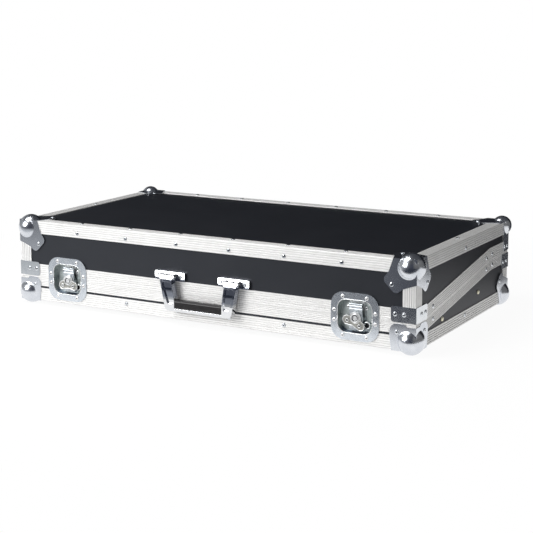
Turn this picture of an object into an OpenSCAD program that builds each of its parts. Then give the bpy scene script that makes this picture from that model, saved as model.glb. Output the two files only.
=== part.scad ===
// Wedge-shaped flight case with a hinged lid, two recessed butterfly latches and a drop handle.
// The lid is the higher part at the front. The base is the higher part at the back.
// X runs along the front, Y from front to back and Z up. The modules work from the front
// bottom edge of the box, and in_frame() moves the result to the part's own origin.

/* [Case] */
// Width over the edge profiles
case_w = 1036; // [940:1:1160]
// Depth over the edge profiles
case_d = 547; // [520:1:620]
// Height over the edge profiles with the lid closed
case_h = 192.5; // [188:0.5:220]
// Height of the parting line along the front
part_front_z = 59; // [58:0.5:62]
// Height of the parting line along the back
part_back_z = 116; // [112:0.5:120]
// Distance from the front where the side parting line starts to climb
climb_start = 55.5; // [45:0.5:80]
// Distance from the back where the side parting line stops climbing
climb_stop = 113.6; // [97:0.1:147]
// Thickness of the laminated wall panels
panel_t = 9; // [7:0.5:10]

/* [Edge profiles] */
// Width of each leg of the edge profile
edge_leg = 30; // [27:0.5:33]
// Wall of the outer legs
edge_wall = 1.8; // [1.5:0.1:2.2]
// Wall of the inner legs
inner_wall = 1.3; // [1:0.1:1.6]
// Length of the inner legs that grip the panels
inner_leg = 12; // [9:0.5:15]
// Number of flutes in each leg
flutes = 5; // [3:1:7]
// Width of a flute
flute_w = 1.6; // [0.8:0.1:2.4]
// Depth of a flute
flute_d = 0.6; // [0.3:0.05:0.8]

/* [Closing profiles] */
// Height of the lid's closing profile
lid_closing_h = 29; // [27:0.5:31]
// Height of the base's closing profile
base_closing_h = 23.5; // [21.5:0.5:24.5]
// Gap between the two closing profiles
parting_gap = 0.4; // [0.3:0.1:0.8]
// Height of the lid's tongue
tongue_h = 5; // [3.5:0.1:5.5]
// Thickness of the tongue
tongue_w = 4; // [3:0.1:4.2]
// Distance from the outer face to the tongue
tongue_in = 3.6; // [3.4:0.1:3.8]
// Side clearance of the tongue in its groove
tongue_clear = 1.3; // [1.2:0.05:1.4]
// Wall left between the groove and the panel
seat_wall = 1.7; // [1.2:0.1:2.2]

/* [Ball corners] */
// Radius of the balls
ball_r = 30; // [29:0.5:31]
// Distance from the faces to the centre of a ball
ball_in = 18; // [17:0.5:19]
// Radius of the smaller balls at the lid's rear corners
strap_ball_r = 23; // [22:0.5:24]
// Distance from the faces to the centre of a smaller ball
strap_ball_in = 11; // [10:0.5:12]
// Thickness of the pressed steel
steel_t = 1.5; // [1.2:0.1:2]
// Radius of the fillet between ball and flange
ball_fillet = 5; // [3:0.5:8]
// Height of the flat that each base ball stands on, measured up from the ball's lowest point
foot_cut = 0.5; // [0.3:0.1:1]
// Length of a petal along the box edge
petal_edge = 51.5; // [48:0.5:54]
// Far shoulder of a petal, measured from the nearer box edge
petal_far = 76; // [73:0.5:79]
// Near shoulder of a petal, measured from the other box edge
petal_near = 46; // [43:0.5:49]
// Size of the flange on the base's front corners
lobe_w = 59; // [56:0.5:61]
// Height of the lobe on the base's front corners
lobe_h = 56.4; // [54:0.1:57]
// Width of the straps on the lid's rear corners
strap_w = 31; // [29:0.5:34]

/* [Corner braces] */
// Leg of the lid's front braces
front_brace_leg = 56; // [52:0.5:60]
// Height of the lid's front braces
front_brace_h = 33.5; // [31:0.5:36]
// Leg of the base's rear braces
rear_brace_leg = 44; // [40:0.5:48]
// Height of the base's rear braces
rear_brace_h = 35; // [32:0.5:37]

/* [Rivets] */
// Radius of a rivet head
rivet_r = 4.75; // [4:0.05:5.2]
// Height of a rivet head
rivet_h = 2; // [1.5:0.1:2.4]
// Spacing of the rivets along the long profiles
rivet_pitch = 139; // [130:1:145]
// Distance from a box edge to its row of rivets
rivet_row = 20; // [18:0.5:22]

/* [Latches] */
// Distance from the side of the box to a latch
latch_in = 139; // [130:1:160]
// Width of the latch dish over its flange
dish_w = 112; // [108:1:116]
// Height of the latch dish over its flange
dish_h = 103; // [100:1:104]
// Corner radius of the flange
dish_r = 30; // [26:1:32]
// Width of the opening of the dish
mouth_w = 80; // [78:0.5:82]
// Height of the opening of the dish
mouth_h = 71; // [70.5:0.5:72]
// Corner radius of the opening
mouth_r = 20; // [18:0.5:22]
// Depth of the dish
dish_depth = 13; // [12.8:0.1:13.5]
// Inward lean of the walls of the dish
dish_draft = 2; // [1:0.1:2]
// Height of the spindle's axis below the parting line
spindle_drop = 3; // [2.8:0.1:3.2]
// Radius from the spindle's axis to the tips of the butterfly
wing_reach = 30.8; // [29:0.1:31]
// Width of the claw
claw_w = 30; // [27:0.5:31]
// Travel of the claw
claw_travel = 5.5; // [4:0.1:5.5]
// Turn of the right-hand butterfly at rest
right_turn = 20; // [0:1:30]

/* [Handle] */
// Distance between the centres of the two hinge plates
handle_span = 168; // [164:1:176]
// Length of a hinge plate
plate_w = 80; // [76:1:84]
// Height of a hinge plate
plate_h = 19.5; // [18:0.5:21]
// Thickness of a hinge plate
plate_t = 6.5; // [5.5:0.1:7]
// Height of the handle's pivot above the parting line
pivot_up = 40.5; // [40:0.1:42]
// Distance from the front face to the handle's pivot
pivot_out = 14; // [13.5:0.1:15]
// Width of the arms at the pivot
arm_w = 31; // [29:0.5:33]
// Depth of the arms from front to back
arm_d = 14.5; // [13:0.1:15]
// Length of the grip
grip_w = 125; // [120:1:128]
// Height of the grip
grip_h = 19; // [17:0.5:21]
// Drop from the pivot to the lowest point of the handle
handle_drop = 76.5; // [74:0.5:78]

/* [Hinges] */
// Width of a hinge
hinge_w = 70; // [60:1:80]
// Thickness of the hinge leaves
leaf_t = 2; // [1.6:0.1:2.4]
// Radius of the knuckles
knuckle_r = 4.75; // [4.5:0.05:5]
// Radius of the hinge pins
pin_r = 2.5; // [2:0.1:2.8]
// Running clearance of pins and shafts in their bores, on the radius
run_fit = 0.05; // [0.03:0.01:0.1]

/* [Interior] */
// Thickness of the foam lining
foam_t = 10; // [6:0.5:14]
// Width of the seat of the equipment rails
rail_seat = 25; // [20:0.5:30]
// Height of the upright leg of the rails
rail_h = 18; // [16:0.5:19]
// Thickness of the rails
rail_t = 2; // [1.5:0.1:2.5]
// Length of the rails
rail_l = 300; // [270:1:310]
// Radius of the rails' fixing holes
rail_hole_r = 3.3; // [3:0.1:3.6]

/* [Hidden] */
$fn = 48;

// Cuts run past the surface by this much
over = 1;
// Smallest gap between pieces that move past each other
gap = 0.35;
// Seam between the mitred lengths of a closing profile
seam = 0.15;
// Colours
alu = [0.86, 0.86, 0.85];
black_laminate = [0.08, 0.08, 0.1];
zinc = [0.66, 0.7, 0.74];
chrome = [0.78, 0.8, 0.83];
rubber = [0.09, 0.09, 0.1];
foam_grey = [0.2, 0.2, 0.22];

// Depths measured inwards from the outer faces of the profiles
panel_in = edge_wall + panel_t;
inner_in = panel_in + inner_wall;
inner_end = panel_in + inner_leg;
// Softened outer corner of the edge profile
edge_soft = 1.2;

// Closing profiles, measured from the parting line
half_gap = parting_gap / 2;
lid_seat = half_gap + seat_wall;
groove_spare = 0.8;
groove_h = tongue_h + groove_spare;
base_seat = groove_h + seat_wall;

// Outline of the parting line on the sides, and the factor for shifting it
climb_end = case_d - climb_stop;
climb = atan2(part_back_z - part_front_z, climb_end - climb_start);
part_pts = [[0, part_front_z], [climb_start, part_front_z],
    [climb_end, part_back_z], [case_d, part_back_z]];
mitre_dir = [-tan(climb / 2), 1];
part_angles = [0, climb, 0];

// The outermost reach of the whole part, which sets its origin
back_out = max(ball_r - ball_in, strap_ball_r - strap_ball_in);
base_ball_out = ball_r - ball_in - foot_cut;
handle_out = pivot_out + arm_d / 2;
hinge_out = 6;
frame_y = -(case_d + back_out - handle_out) / 2;
frame_z = base_ball_out;

// Placing helpers

module in_frame() {
    translate([0, frame_y, frame_z]) children();
}

// Turns +Z outwards on a named face. For the front and back the place is (x, z), for the
// sides (y, z) and for the top and bottom (x, y). lift is the height above the face.
module on_face(face, a, b, lift = 0) {
    if (face == "front") translate([a, -lift, b]) rotate([90, 0, 0]) children();
    if (face == "back") translate([a, case_d + lift, b]) rotate([-90, 0, 0]) children();
    if (face == "right") translate([case_w / 2 + lift, a, b]) rotate([0, 90, 0]) children();
    if (face == "left") translate([-case_w / 2 - lift, a, b]) rotate([0, -90, 0]) children();
    if (face == "top") translate([a, b, case_h + lift]) children();
    if (face == "bottom") translate([a, b, -lift]) rotate([180, 0, 0]) children();
}

// Works in the frame of one corner of the box: the box is at +X, +Y and +Z of its corner.
module at_corner(side_x, side_y, side_z) {
    translate([side_x * case_w / 2, side_y > 0 ? case_d : 0, side_z > 0 ? case_h : 0])
        mirror([side_x > 0 ? 1 : 0, 0, 0])
        mirror([0, side_y > 0 ? 1 : 0, 0])
        mirror([0, 0, side_z > 0 ? 1 : 0])
        children();
}

// Extrudes a section along X. The section's first axis runs inwards from the front or back
// face, and its second axis up, or down for a negative side_z.
module run_x(length, side_y, z, side_z) {
    translate([-length / 2, side_y > 0 ? case_d : 0, z])
        mirror([0, side_y > 0 ? 1 : 0, 0])
        mirror([0, 0, side_z < 0 ? 1 : 0])
        rotate([90, 0, 90])
        linear_extrude(length) children();
}

// Extrudes a section along Y over the whole depth, on the left or right side.
module run_y(side_x, z, side_z) {
    translate([side_x * case_w / 2, case_d, z])
        mirror([side_x > 0 ? 1 : 0, 0, 0])
        mirror([0, 0, side_z < 0 ? 1 : 0])
        rotate([90, 0, 0])
        linear_extrude(case_d) children();
}

// Extrudes an outline in Y and Z through the whole width.
module across(outline) {
    translate([-case_w / 2 - over, 0, 0])
        rotate([90, 0, 90])
        linear_extrude(case_w + 2 * over) polygon(outline);
}

// Children are drawn for the right side, and mirrored for the left.
module on_side(side) {
    mirror([side < 0 ? 1 : 0, 0, 0]) children();
}

module both_sides() {
    for (side = [-1, 1]) on_side(side) children();
}

// Outlines

// A polygon whose corners [x, y, r] are rounded to radius r.
function unit(v) = v / norm(v);
function round_corner(before, corner, after, r, steps) =
    let (
        a = unit([before[0] - corner[0], before[1] - corner[1]]),
        b = unit([after[0] - corner[0], after[1] - corner[1]]),
        half = acos(a * b) / 2,
        sweep = acos(-(a * b)),
        middle = [corner[0], corner[1]] + unit(a + b) * r / sin(half),
        start = [corner[0], corner[1]] + a * r / tan(half),
        turn = (a[0] * b[1] - a[1] * b[0]) > 0 ? -1 : 1,
        first = atan2(start[1] - middle[1], start[0] - middle[0])
    )
    [for (i = [0:steps])
        let (t = first + turn * sweep * i / steps)
        middle + r * [cos(t), sin(t)]];
function rounded(pts, steps = 5) = [
    for (i = [0:len(pts) - 1])
        let (n = len(pts), p = pts[i])
        each (p[2] > 0
            ? round_corner(pts[(i + n - 1) % n], p, pts[(i + 1) % n], p[2], steps)
            : [[p[0], p[1]]])];

// One fluted face along the first axis, and the same face along the second axis.
function fluted(length) = [
    for (k = [1:flutes])
        for (j = [-1, 0, 1])
            [length * k / (flutes + 1) + j * flute_w / 2, j == 0 ? flute_d : 0]];
function swapped(pts) = [for (i = [len(pts) - 1:-1:0]) [pts[i][1], pts[i][0]]];

// Section of the edge profile: two fluted outer legs, a hollow core and two inner legs.
module outer_angle() {
    polygon(concat([[0, edge_soft], [edge_soft, 0]], fluted(edge_leg),
        [[edge_leg, 0], [edge_leg, edge_wall], [edge_wall, edge_wall],
            [edge_wall, edge_leg], [0, edge_leg]],
        swapped(fluted(edge_leg))));
}

module inner_angle() {
    translate([panel_in - inner_wall, panel_in])
        square([inner_wall + inner_leg, inner_wall]);
    translate([panel_in, panel_in - inner_wall])
        square([inner_wall, inner_wall + inner_leg]);
}

module hollow_core() {
    difference() {
        translate([edge_wall, edge_wall]) square(panel_t);
        translate([edge_wall, edge_wall]) square(panel_t - inner_wall);
    }
}

module edge_section() {
    outer_angle();
    hollow_core();
    inner_angle();
}

// The same section with its core and flutes filled, for cutting what butts against it.
module edge_envelope() {
    square([edge_leg, edge_wall]);
    square([edge_wall, edge_leg]);
    square(panel_in);
    inner_angle();
}

// Outer leg of a closing profile of height h, above the parting line.
module closing_leg(h) {
    polygon(concat([[0, half_gap]], [[edge_wall, half_gap], [edge_wall, h], [0, h]],
        [for (p = swapped(fluted(h - half_gap))) [p[0], p[1] + half_gap]]));
}

module lid_closing_core() {
    translate([edge_wall, half_gap])
        square([inner_in - edge_wall, seat_wall]);
    translate([panel_in, half_gap])
        square([inner_wall, seat_wall + inner_leg]);
    translate([tongue_in, -tongue_h])
        square([tongue_w, tongue_h + lid_seat]);
}

// Drawn with the parting line at 0 and the base above it, and mirrored when placed.
module base_closing_core() {
    difference() {
        union() {
            translate([edge_wall, half_gap])
                square([inner_in - edge_wall, base_seat - half_gap]);
            translate([panel_in, half_gap])
                square([inner_wall, base_seat - half_gap + inner_leg]);
        }
        translate([tongue_in - tongue_clear, -over])
            square([tongue_w + 2 * tongue_clear, groove_h + over]);
    }
}

// A petal of a ball corner. Its corner lies at the origin, and its edges wrap the box.
petal_waist = [62, 28];
petal_waist_r = 25;
petal_shoulder_r = 11;
function petal() = rounded([[-steel_t, -steel_t, 0], [petal_edge, -steel_t, 0],
    [petal_waist[0], petal_waist[1], petal_waist_r],
    [petal_far, petal_near, petal_shoulder_r],
    [petal_near, petal_far, petal_shoulder_r],
    [petal_waist[1], petal_waist[0], petal_waist_r], [-steel_t, petal_edge, 0]]);

// The lobed flange of the base's front corners, low because the front wall is low.
lobe_foot = 55;
lobe_neck = 20;
lobe_side_h = 50.6;
lobe_r = 17;
neck_r = 5;
function lobe() = rounded([[-steel_t, -steel_t, 0], [lobe_foot, -steel_t, 0],
    [lobe_w, edge_leg, neck_r], [lobe_w, lobe_h, lobe_r], [lobe_neck + neck_r, lobe_h, neck_r],
    [lobe_neck, lobe_side_h, neck_r], [-steel_t, lobe_side_h, 0]]);

// The plate under the base's front corners.
function under_plate() = rounded([[-steel_t, -steel_t, 0], [lobe_foot, -steel_t, 0],
    [lobe_foot, lobe_foot, lobe_r], [-steel_t, lobe_foot, 0]]);

// The strap that runs from the lid's rear balls down to the parting line.
strap_stop = 6.5;
strap_l = case_h - part_back_z - strap_stop;
strap_r = 4;
function strap() = rounded([[-steel_t, -steel_t, 0], [strap_w, -steel_t, 0],
    [strap_w, strap_l, strap_r], [-steel_t, strap_l, 0]]);

// A ball corner in its own corner's frame: a ball of radius r, a flange on each of its three
// faces, and a fillet between them that stays over its flange. What lies within the box is
// cut away. The turn keeps the poles of the sphere clear of the cuts.
ball_turn = [-atan(1 / sqrt(2)), 45, 0];
module ball_corner(r, inwards, on_x, on_y, on_z) {
    centre = [inwards, inwards, inwards];
    difference() {
        union() {
            translate(centre) rotate(ball_turn) sphere(r);
            over_x(steel_t) polygon(on_x);
            over_y(steel_t) polygon(on_y);
            over_z(steel_t) polygon(on_z);
            intersection() {
                over_x(r) polygon(on_x);
                translate(centre) rotate([0, -90, 0]) ball_collar(r, inwards);
            }
            intersection() {
                over_y(r) polygon(on_y);
                translate(centre) rotate([90, 0, 0]) ball_collar(r, inwards);
            }
            intersection() {
                over_z(r) polygon(on_z);
                translate(centre) rotate([180, 0, 0]) ball_collar(r, inwards);
            }
        }
        cube(2 * (petal_far + strap_l));
    }
}

// Extrudes an outline outwards by h from one of the three faces
module over_x(h) {
    translate([-h, 0, 0]) rotate([90, 0, 90]) linear_extrude(h) children();
}

module over_y(h) {
    rotate([90, 0, 0]) linear_extrude(h) children();
}

module over_z(h) {
    translate([0, 0, -h]) linear_extrude(h) children();
}

// The fillet between a ball and a flange, from the ball's centre outwards along +Z. Its
// circle bites a little into both, so that it meets them in clean edges.
fillet_bite = 0.1;
module ball_collar(r, inwards) {
    reach = r + ball_fillet - fillet_bite;
    rise = inwards + steel_t + ball_fillet - fillet_bite;
    foot = sqrt(reach * reach - rise * rise);
    touch_share = 1 - (ball_fillet + over) / reach;
    rotate_extrude() difference() {
        polygon([[0, inwards - over], [foot, inwards - over], [foot, rise],
            [foot * touch_share, rise * touch_share]]);
        translate([foot, rise]) circle(r = ball_fillet);
    }
}

// A bent strip round a vertical corner, in that corner's frame, from height z0 to z1.
brace_r = 6;
module brace(leg, z0, z1) {
    strip = rounded([[-steel_t, z0, 0], [leg, z0, brace_r], [leg, z1, brace_r],
        [-steel_t, z1, 0]], 4);
    rotate([90, 0, 0]) linear_extrude(steel_t) polygon(strip);
    translate([-steel_t, 0, 0]) rotate([90, 0, 90]) linear_extrude(steel_t) polygon(strip);
}

// A blind rivet seen from outside: a dome with the dimple that its mandrel leaves.
dimple_r = 1.3;
dimple_d = 1;
dome_shares = [[1, 0.25], [0.93, 0.55], [0.76, 0.82], [0.5, 0.97]];
module rivet() {
    rotate_extrude() polygon(concat([[0, 0], [rivet_r, 0]],
        [for (s = dome_shares) [rivet_r * s[0], rivet_h * s[1]]],
        [[dimple_r, rivet_h], [0, rivet_h - dimple_d]]));
}

// Small rivets in the latches
small_rivet_r = 3.6;
small_rivet_h = 1.7;
module small_rivet() {
    rotate_extrude() polygon(concat([[0, 0], [small_rivet_r, 0]],
        [for (s = dome_shares) [small_rivet_r * s[0], small_rivet_h * s[1]]],
        [[0, small_rivet_h]]));
}

// Places along the long profiles where the rivets stand
rivet_xs = [for (k = [-2.5:1:2.5]) k * rivet_pitch];
latch_x = case_w / 2 - latch_in;
// The front bottom row leaves out the rivets that the latches would cover
open_rivet_xs = [for (x = rivet_xs) if (abs(abs(x) - latch_x) > dish_w / 2 + rivet_r) x];

// The parting line's height and slope at a distance y from the front
function part_z(y) = y < climb_start ? part_front_z
    : y > climb_end ? part_back_z
    : part_front_z + (y - climb_start) * tan(climb);

// Panels

// Side outline between the parting line shifted by v and a level z
function wall_outline(v, z) = [
    [inner_in, z], [inner_in, part_front_z + v],
    part_pts[1] + v * mitre_dir, part_pts[2] + v * mitre_dir,
    [case_d - inner_in, part_back_z + v], [case_d - inner_in, z]];

module side_walls(v, z) {
    both_sides()
        translate([case_w / 2 - panel_in, 0, 0])
        rotate([90, 0, 90])
        linear_extrude(panel_t) polygon(wall_outline(v, z));
}

// Opening through the front wall for the latch dishes
dish_fit = 0.5;
module latch_cutouts() {
    w = mouth_w + 2 * (steel_t + dish_fit);
    h = mouth_h + 2 * (steel_t + dish_fit);
    both_sides()
        translate([latch_x - w / 2, -over, part_front_z - h / 2])
        cube([w, inner_in + 2 * over, h]);
}

module base_bottom_panel() {
    color(black_laminate) in_frame()
        translate([inner_in - case_w / 2, inner_in, edge_wall])
        cube([case_w - 2 * inner_in, case_d - 2 * inner_in, panel_t]);
}

module base_front_panel() {
    color(black_laminate) in_frame() difference() {
        translate([edge_wall - case_w / 2, edge_wall, inner_in])
            cube([case_w - 2 * edge_wall, panel_t, part_front_z - base_seat - inner_in]);
        latch_cutouts();
    }
}

module base_back_panel() {
    color(black_laminate) in_frame()
        translate([inner_in - case_w / 2, case_d - panel_in, inner_in])
        cube([case_w - 2 * inner_in, panel_t, part_back_z - base_seat - inner_in]);
}

module base_side_panels() {
    color(black_laminate) in_frame() difference() {
        side_walls(-base_seat, inner_in);
        rail_bolt_places() translate([0, 0, -panel_in - over])
            cylinder(r = bolt_r, h = panel_in + 2 * over);
    }
}

module lid_top_panel() {
    color(black_laminate) in_frame()
        translate([inner_in - case_w / 2, inner_in, case_h - panel_in])
        cube([case_w - 2 * inner_in, case_d - 2 * inner_in, panel_t]);
}

module lid_front_panel() {
    color(black_laminate) in_frame() difference() {
        translate([inner_in - case_w / 2, edge_wall, part_front_z + lid_seat])
            cube([case_w - 2 * inner_in, panel_t,
                case_h - inner_in - part_front_z - lid_seat]);
        latch_cutouts();
    }
}

module lid_back_panel() {
    color(black_laminate) in_frame()
        translate([inner_in - case_w / 2, case_d - panel_in, part_back_z + lid_seat])
        cube([case_w - 2 * inner_in, panel_t, case_h - inner_in - part_back_z - lid_seat]);
}

module lid_side_panels() {
    color(black_laminate) in_frame() side_walls(lid_seat, case_h - inner_in);
}

// Edge profiles

module long_edge(side_y, side_z) {
    run_x(case_w, side_y, side_z > 0 ? case_h : 0, -side_z) edge_section();
}

// Clears the short profiles from the long ones and from the panel or post above their core
module long_envelope(side_y, side_z) {
    z = side_z > 0 ? case_h : 0;
    run_x(case_w + 2 * over, side_y, z, -side_z) edge_envelope();
    run_x(case_w - 2 * edge_wall, side_y, z, -side_z)
        translate([edge_wall, panel_in]) square([panel_t, inner_leg + over]);
}

module short_edge(side_x, side_z) {
    difference() {
        run_y(side_x, side_z > 0 ? case_h : 0, -side_z) edge_section();
        long_envelope(-1, side_z);
        long_envelope(1, side_z);
    }
}

module base_edge_front() {
    color(alu) in_frame() difference() {
        long_edge(-1, -1);
        latch_cutouts();
    }
}

module base_edge_back() {
    color(alu) in_frame() long_edge(1, -1);
}

module base_edge_left() {
    color(alu) in_frame() short_edge(-1, -1);
}

module base_edge_right() {
    color(alu) in_frame() short_edge(1, -1);
}

module lid_edge_front() {
    color(alu) in_frame() long_edge(-1, 1);
}

module lid_edge_back() {
    color(alu) in_frame() long_edge(1, 1);
}

module lid_edge_left() {
    color(alu) in_frame() short_edge(-1, 1);
}

module lid_edge_right() {
    color(alu) in_frame() short_edge(1, 1);
}

// A corner post in the frame of a corner at height 0. Its core, outer legs and inner legs
// each stop where they meet the profile above or below.
module post(core_z, outer_z, inner_z) {
    translate([0, 0, core_z[0]]) linear_extrude(core_z[1] - core_z[0]) hollow_core();
    translate([0, 0, outer_z[0]]) linear_extrude(outer_z[1] - outer_z[0]) outer_angle();
    translate([0, 0, inner_z[0]]) linear_extrude(inner_z[1] - inner_z[0]) inner_angle();
}

module base_posts() {
    color(alu) in_frame() for (side = [-1, 1]) at_corner(side, 1, -1)
        post([inner_in, part_back_z - base_seat],
            [edge_leg, part_back_z - base_closing_h],
            [inner_end, part_back_z - base_seat - inner_leg]);
}

module lid_posts() {
    color(alu) in_frame() for (side = [-1, 1]) {
        at_corner(side, -1, -1)
            post([part_front_z + lid_seat, case_h - inner_in],
                [part_front_z + lid_closing_h, case_h - edge_leg],
                [part_front_z + lid_seat + inner_leg, case_h - inner_end]);
        at_corner(side, 1, -1)
            post([part_back_z + lid_seat, case_h - inner_in],
                [part_back_z + lid_closing_h, case_h - edge_leg],
                [part_back_z + lid_seat + inner_leg, case_h - inner_end]);
    }
}

// Closing profiles

module long_closing(side_y, z, side_z, h) {
    run_x(case_w, side_y, z, side_z) closing_leg(h);
    run_x(case_w - 2 * edge_wall, side_y, z, side_z) children();
}

// The quadrilateral that holds one straight length of the side profiles, with mitred ends
// at the bends and square ends set in by inset at the front and back.
function length_outline(k, inset) =
    let (
        along = seam / 2 * unit(part_pts[k + 1] - part_pts[k]),
        a = k == 0 ? [inset, part_front_z] : part_pts[k] + along,
        b = k == 2 ? [case_d - inset, part_back_z] : part_pts[k + 1] - along,
        reach_a = 2 * edge_leg * (k == 0 ? [0, 1] : mitre_dir),
        reach_b = 2 * edge_leg * (k == 2 ? [0, 1] : mitre_dir)
    )
    [a - reach_a, b - reach_b, b + reach_b, a + reach_a];

// One straight length of a side profile, run along its stretch of the parting line.
module side_length(k, side_z) {
    a = part_pts[k];
    length = norm(part_pts[k + 1] - a);
    spare = edge_leg;
    translate([case_w / 2, a[0], a[1]])
        rotate([part_angles[k], 0, 0])
        translate([0, length + spare, 0])
        mirror([1, 0, 0])
        mirror([0, 0, side_z < 0 ? 1 : 0])
        rotate([90, 0, 0])
        linear_extrude(length + 2 * spare) children();
}

// The leg is children(0) and the core children(1), which starts behind the long profiles.
module side_closing(side_x, side_z) {
    on_side(side_x) for (k = [0:2]) {
        intersection() {
            side_length(k, side_z) children(0);
            across(length_outline(k, edge_wall));
        }
        intersection() {
            side_length(k, side_z) children(1);
            across(length_outline(k, inner_in));
        }
    }
}

module base_closing_front() {
    color(alu) in_frame() difference() {
        long_closing(-1, part_front_z, -1, base_closing_h) base_closing_core();
        latch_cutouts();
    }
}

module base_closing_back() {
    color(alu) in_frame()
        long_closing(1, part_back_z, -1, base_closing_h) base_closing_core();
}

module base_closing_left() {
    color(alu) in_frame() side_closing(-1, -1) {
        closing_leg(base_closing_h);
        base_closing_core();
    }
}

module base_closing_right() {
    color(alu) in_frame() side_closing(1, -1) {
        closing_leg(base_closing_h);
        base_closing_core();
    }
}

module lid_closing_front() {
    color(alu) in_frame() difference() {
        long_closing(-1, part_front_z, 1, lid_closing_h) lid_closing_core();
        latch_cutouts();
    }
}

module lid_closing_back() {
    color(alu) in_frame()
        long_closing(1, part_back_z, 1, lid_closing_h) lid_closing_core();
}

module lid_closing_left() {
    color(alu) in_frame() side_closing(-1, 1) {
        closing_leg(lid_closing_h);
        lid_closing_core();
    }
}

module lid_closing_right() {
    color(alu) in_frame() side_closing(1, 1) {
        closing_leg(lid_closing_h);
        lid_closing_core();
    }
}

// Ball corners and braces

module base_front_ball_corners() {
    color(chrome) in_frame() for (side = [-1, 1]) at_corner(side, -1, -1) difference() {
        ball_corner(ball_r, ball_in, lobe(), lobe(), under_plate());
        foot_flat();
    }
}

module base_rear_ball_corners() {
    color(chrome) in_frame() for (side = [-1, 1]) at_corner(side, 1, -1) difference() {
        ball_corner(ball_r, ball_in, petal(), petal(), petal());
        foot_flat();
    }
}

// Everything below the level that the base balls stand on
module foot_flat() {
    translate([-ball_r, -ball_r, -ball_r - base_ball_out])
        cube([3 * ball_r, 3 * ball_r, ball_r]);
}

module lid_front_ball_corners() {
    color(chrome) in_frame() for (side = [-1, 1]) at_corner(side, -1, 1)
        ball_corner(ball_r, ball_in, petal(), petal(), petal());
}

module lid_rear_ball_corners() {
    color(chrome) in_frame() for (side = [-1, 1]) at_corner(side, 1, 1)
        ball_corner(strap_ball_r, strap_ball_in, strap(), strap(), petal());
}

front_brace_z = part_front_z + parting_gap;
rear_brace_z = part_back_z - parting_gap - rear_brace_h;
module lid_braces() {
    color(zinc) in_frame() for (side = [-1, 1]) at_corner(side, -1, -1)
        brace(front_brace_leg, front_brace_z, front_brace_z + front_brace_h);
}

module base_braces() {
    color(zinc) in_frame() for (side = [-1, 1]) at_corner(side, 1, -1)
        brace(rear_brace_leg, rear_brace_z, rear_brace_z + rear_brace_h);
}

// Rivets

// Rivets through the flanges: distances from the two box edges of each face
petal_rivet = [55, 55];
lobe_rivet = [42.5, 38];
strap_rivets = [8, 24];
strap_rivet_up = 17.5;
front_brace_rivets = [26, 46.5];
rear_brace_rivets = [12, 33];
// Rivets beside the mitres of the side profiles, along the profile from its bend
mitre_rivet_in = 34;
rear_mitre_rivets = [-29, 8.5];
under_rivet = 40;

module rivet_row(face, xs, b) {
    for (x = xs) on_face(face, x, b) rivet();
}

// Rivets on the front, back and side faces round one corner, mirrored to both sides
module corner_rivets(face_y, a, b, lift = steel_t) {
    side_y = face_y == "front" ? a : case_d - a;
    both_sides() {
        on_face(face_y, case_w / 2 - a, b, lift) rivet();
        on_face("right", side_y, b, lift) rivet();
    }
}

// A rivet in the middle of a side profile, at y and half its height from the parting line
module side_profile_rivet(y, v) {
    both_sides() on_face("right", y, part_z(y) + v) rivet();
}

// The rivets of the hinge leaves, v above the parting line
hinge_rivet_up = 14;
module hinge_rivets(v) {
    both_sides() for (k = [-1, 1])
        on_face("back", latch_x + k * hinge_w / 3, part_back_z + v, leaf_t) rivet();
}

module base_edge_rivets() {
    color(zinc) in_frame() {
        rivet_row("front", open_rivet_xs, rivet_row);
        rivet_row("back", rivet_xs, rivet_row);
        rivet_row("bottom", rivet_xs, rivet_row);
        rivet_row("bottom", rivet_xs, case_d - rivet_row);
        both_sides() {
            on_face("right", case_d / 2, rivet_row) rivet();
            on_face("bottom", case_w / 2 - rivet_row, case_d / 2) rivet();
        }
    }
}

module base_corner_rivets() {
    color(zinc) in_frame() {
        both_sides() {
            on_face("bottom", case_w / 2 - under_rivet, under_rivet, steel_t) rivet();
            on_face("bottom", case_w / 2 - petal_rivet[0], case_d - petal_rivet[1], steel_t)
                rivet();
        }
        corner_rivets("front", lobe_rivet[0], lobe_rivet[1]);
        corner_rivets("back", petal_rivet[0], petal_rivet[1]);
        for (a = rear_brace_rivets)
            corner_rivets("back", a, rear_brace_z + rear_brace_h / 2);
        hinge_rivets(-hinge_rivet_up);
        side_profile_rivet(climb_start + mitre_rivet_in, -base_closing_h / 2);
        for (d = rear_mitre_rivets)
            side_profile_rivet(climb_end + d, -base_closing_h / 2);
    }
}

module lid_edge_rivets() {
    color(zinc) in_frame() {
        rivet_row("front", rivet_xs, case_h - rivet_row);
        rivet_row("back", rivet_xs, case_h - rivet_row);
        rivet_row("top", rivet_xs, rivet_row);
        rivet_row("top", rivet_xs, case_d - rivet_row);
        both_sides() {
            on_face("right", case_d / 2, case_h - rivet_row) rivet();
            on_face("top", case_w / 2 - rivet_row, case_d / 2) rivet();
        }
    }
}

module lid_corner_rivets() {
    color(zinc) in_frame() {
        both_sides() for (y = [petal_rivet[1], case_d - petal_rivet[1]])
            on_face("top", case_w / 2 - petal_rivet[0], y, steel_t) rivet();
        corner_rivets("front", petal_rivet[0], case_h - petal_rivet[1]);
        for (a = strap_rivets)
            corner_rivets("back", a, part_back_z + strap_rivet_up);
        for (a = front_brace_rivets)
            corner_rivets("front", a, front_brace_z + front_brace_h / 2);
        hinge_rivets(hinge_rivet_up);
        side_profile_rivet(climb_start + mitre_rivet_in, lid_closing_h / 2);
        for (d = rear_mitre_rivets)
            side_profile_rivet(climb_end + d, lid_closing_h / 2);
    }
}

// Latches. Each works in its own frame: the origin is on the front face at the parting
// line, X is to the right, Y into the case and Z up.

module at_latch(side) {
    translate([side * latch_x, 0, part_front_z]) children();
}

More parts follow.
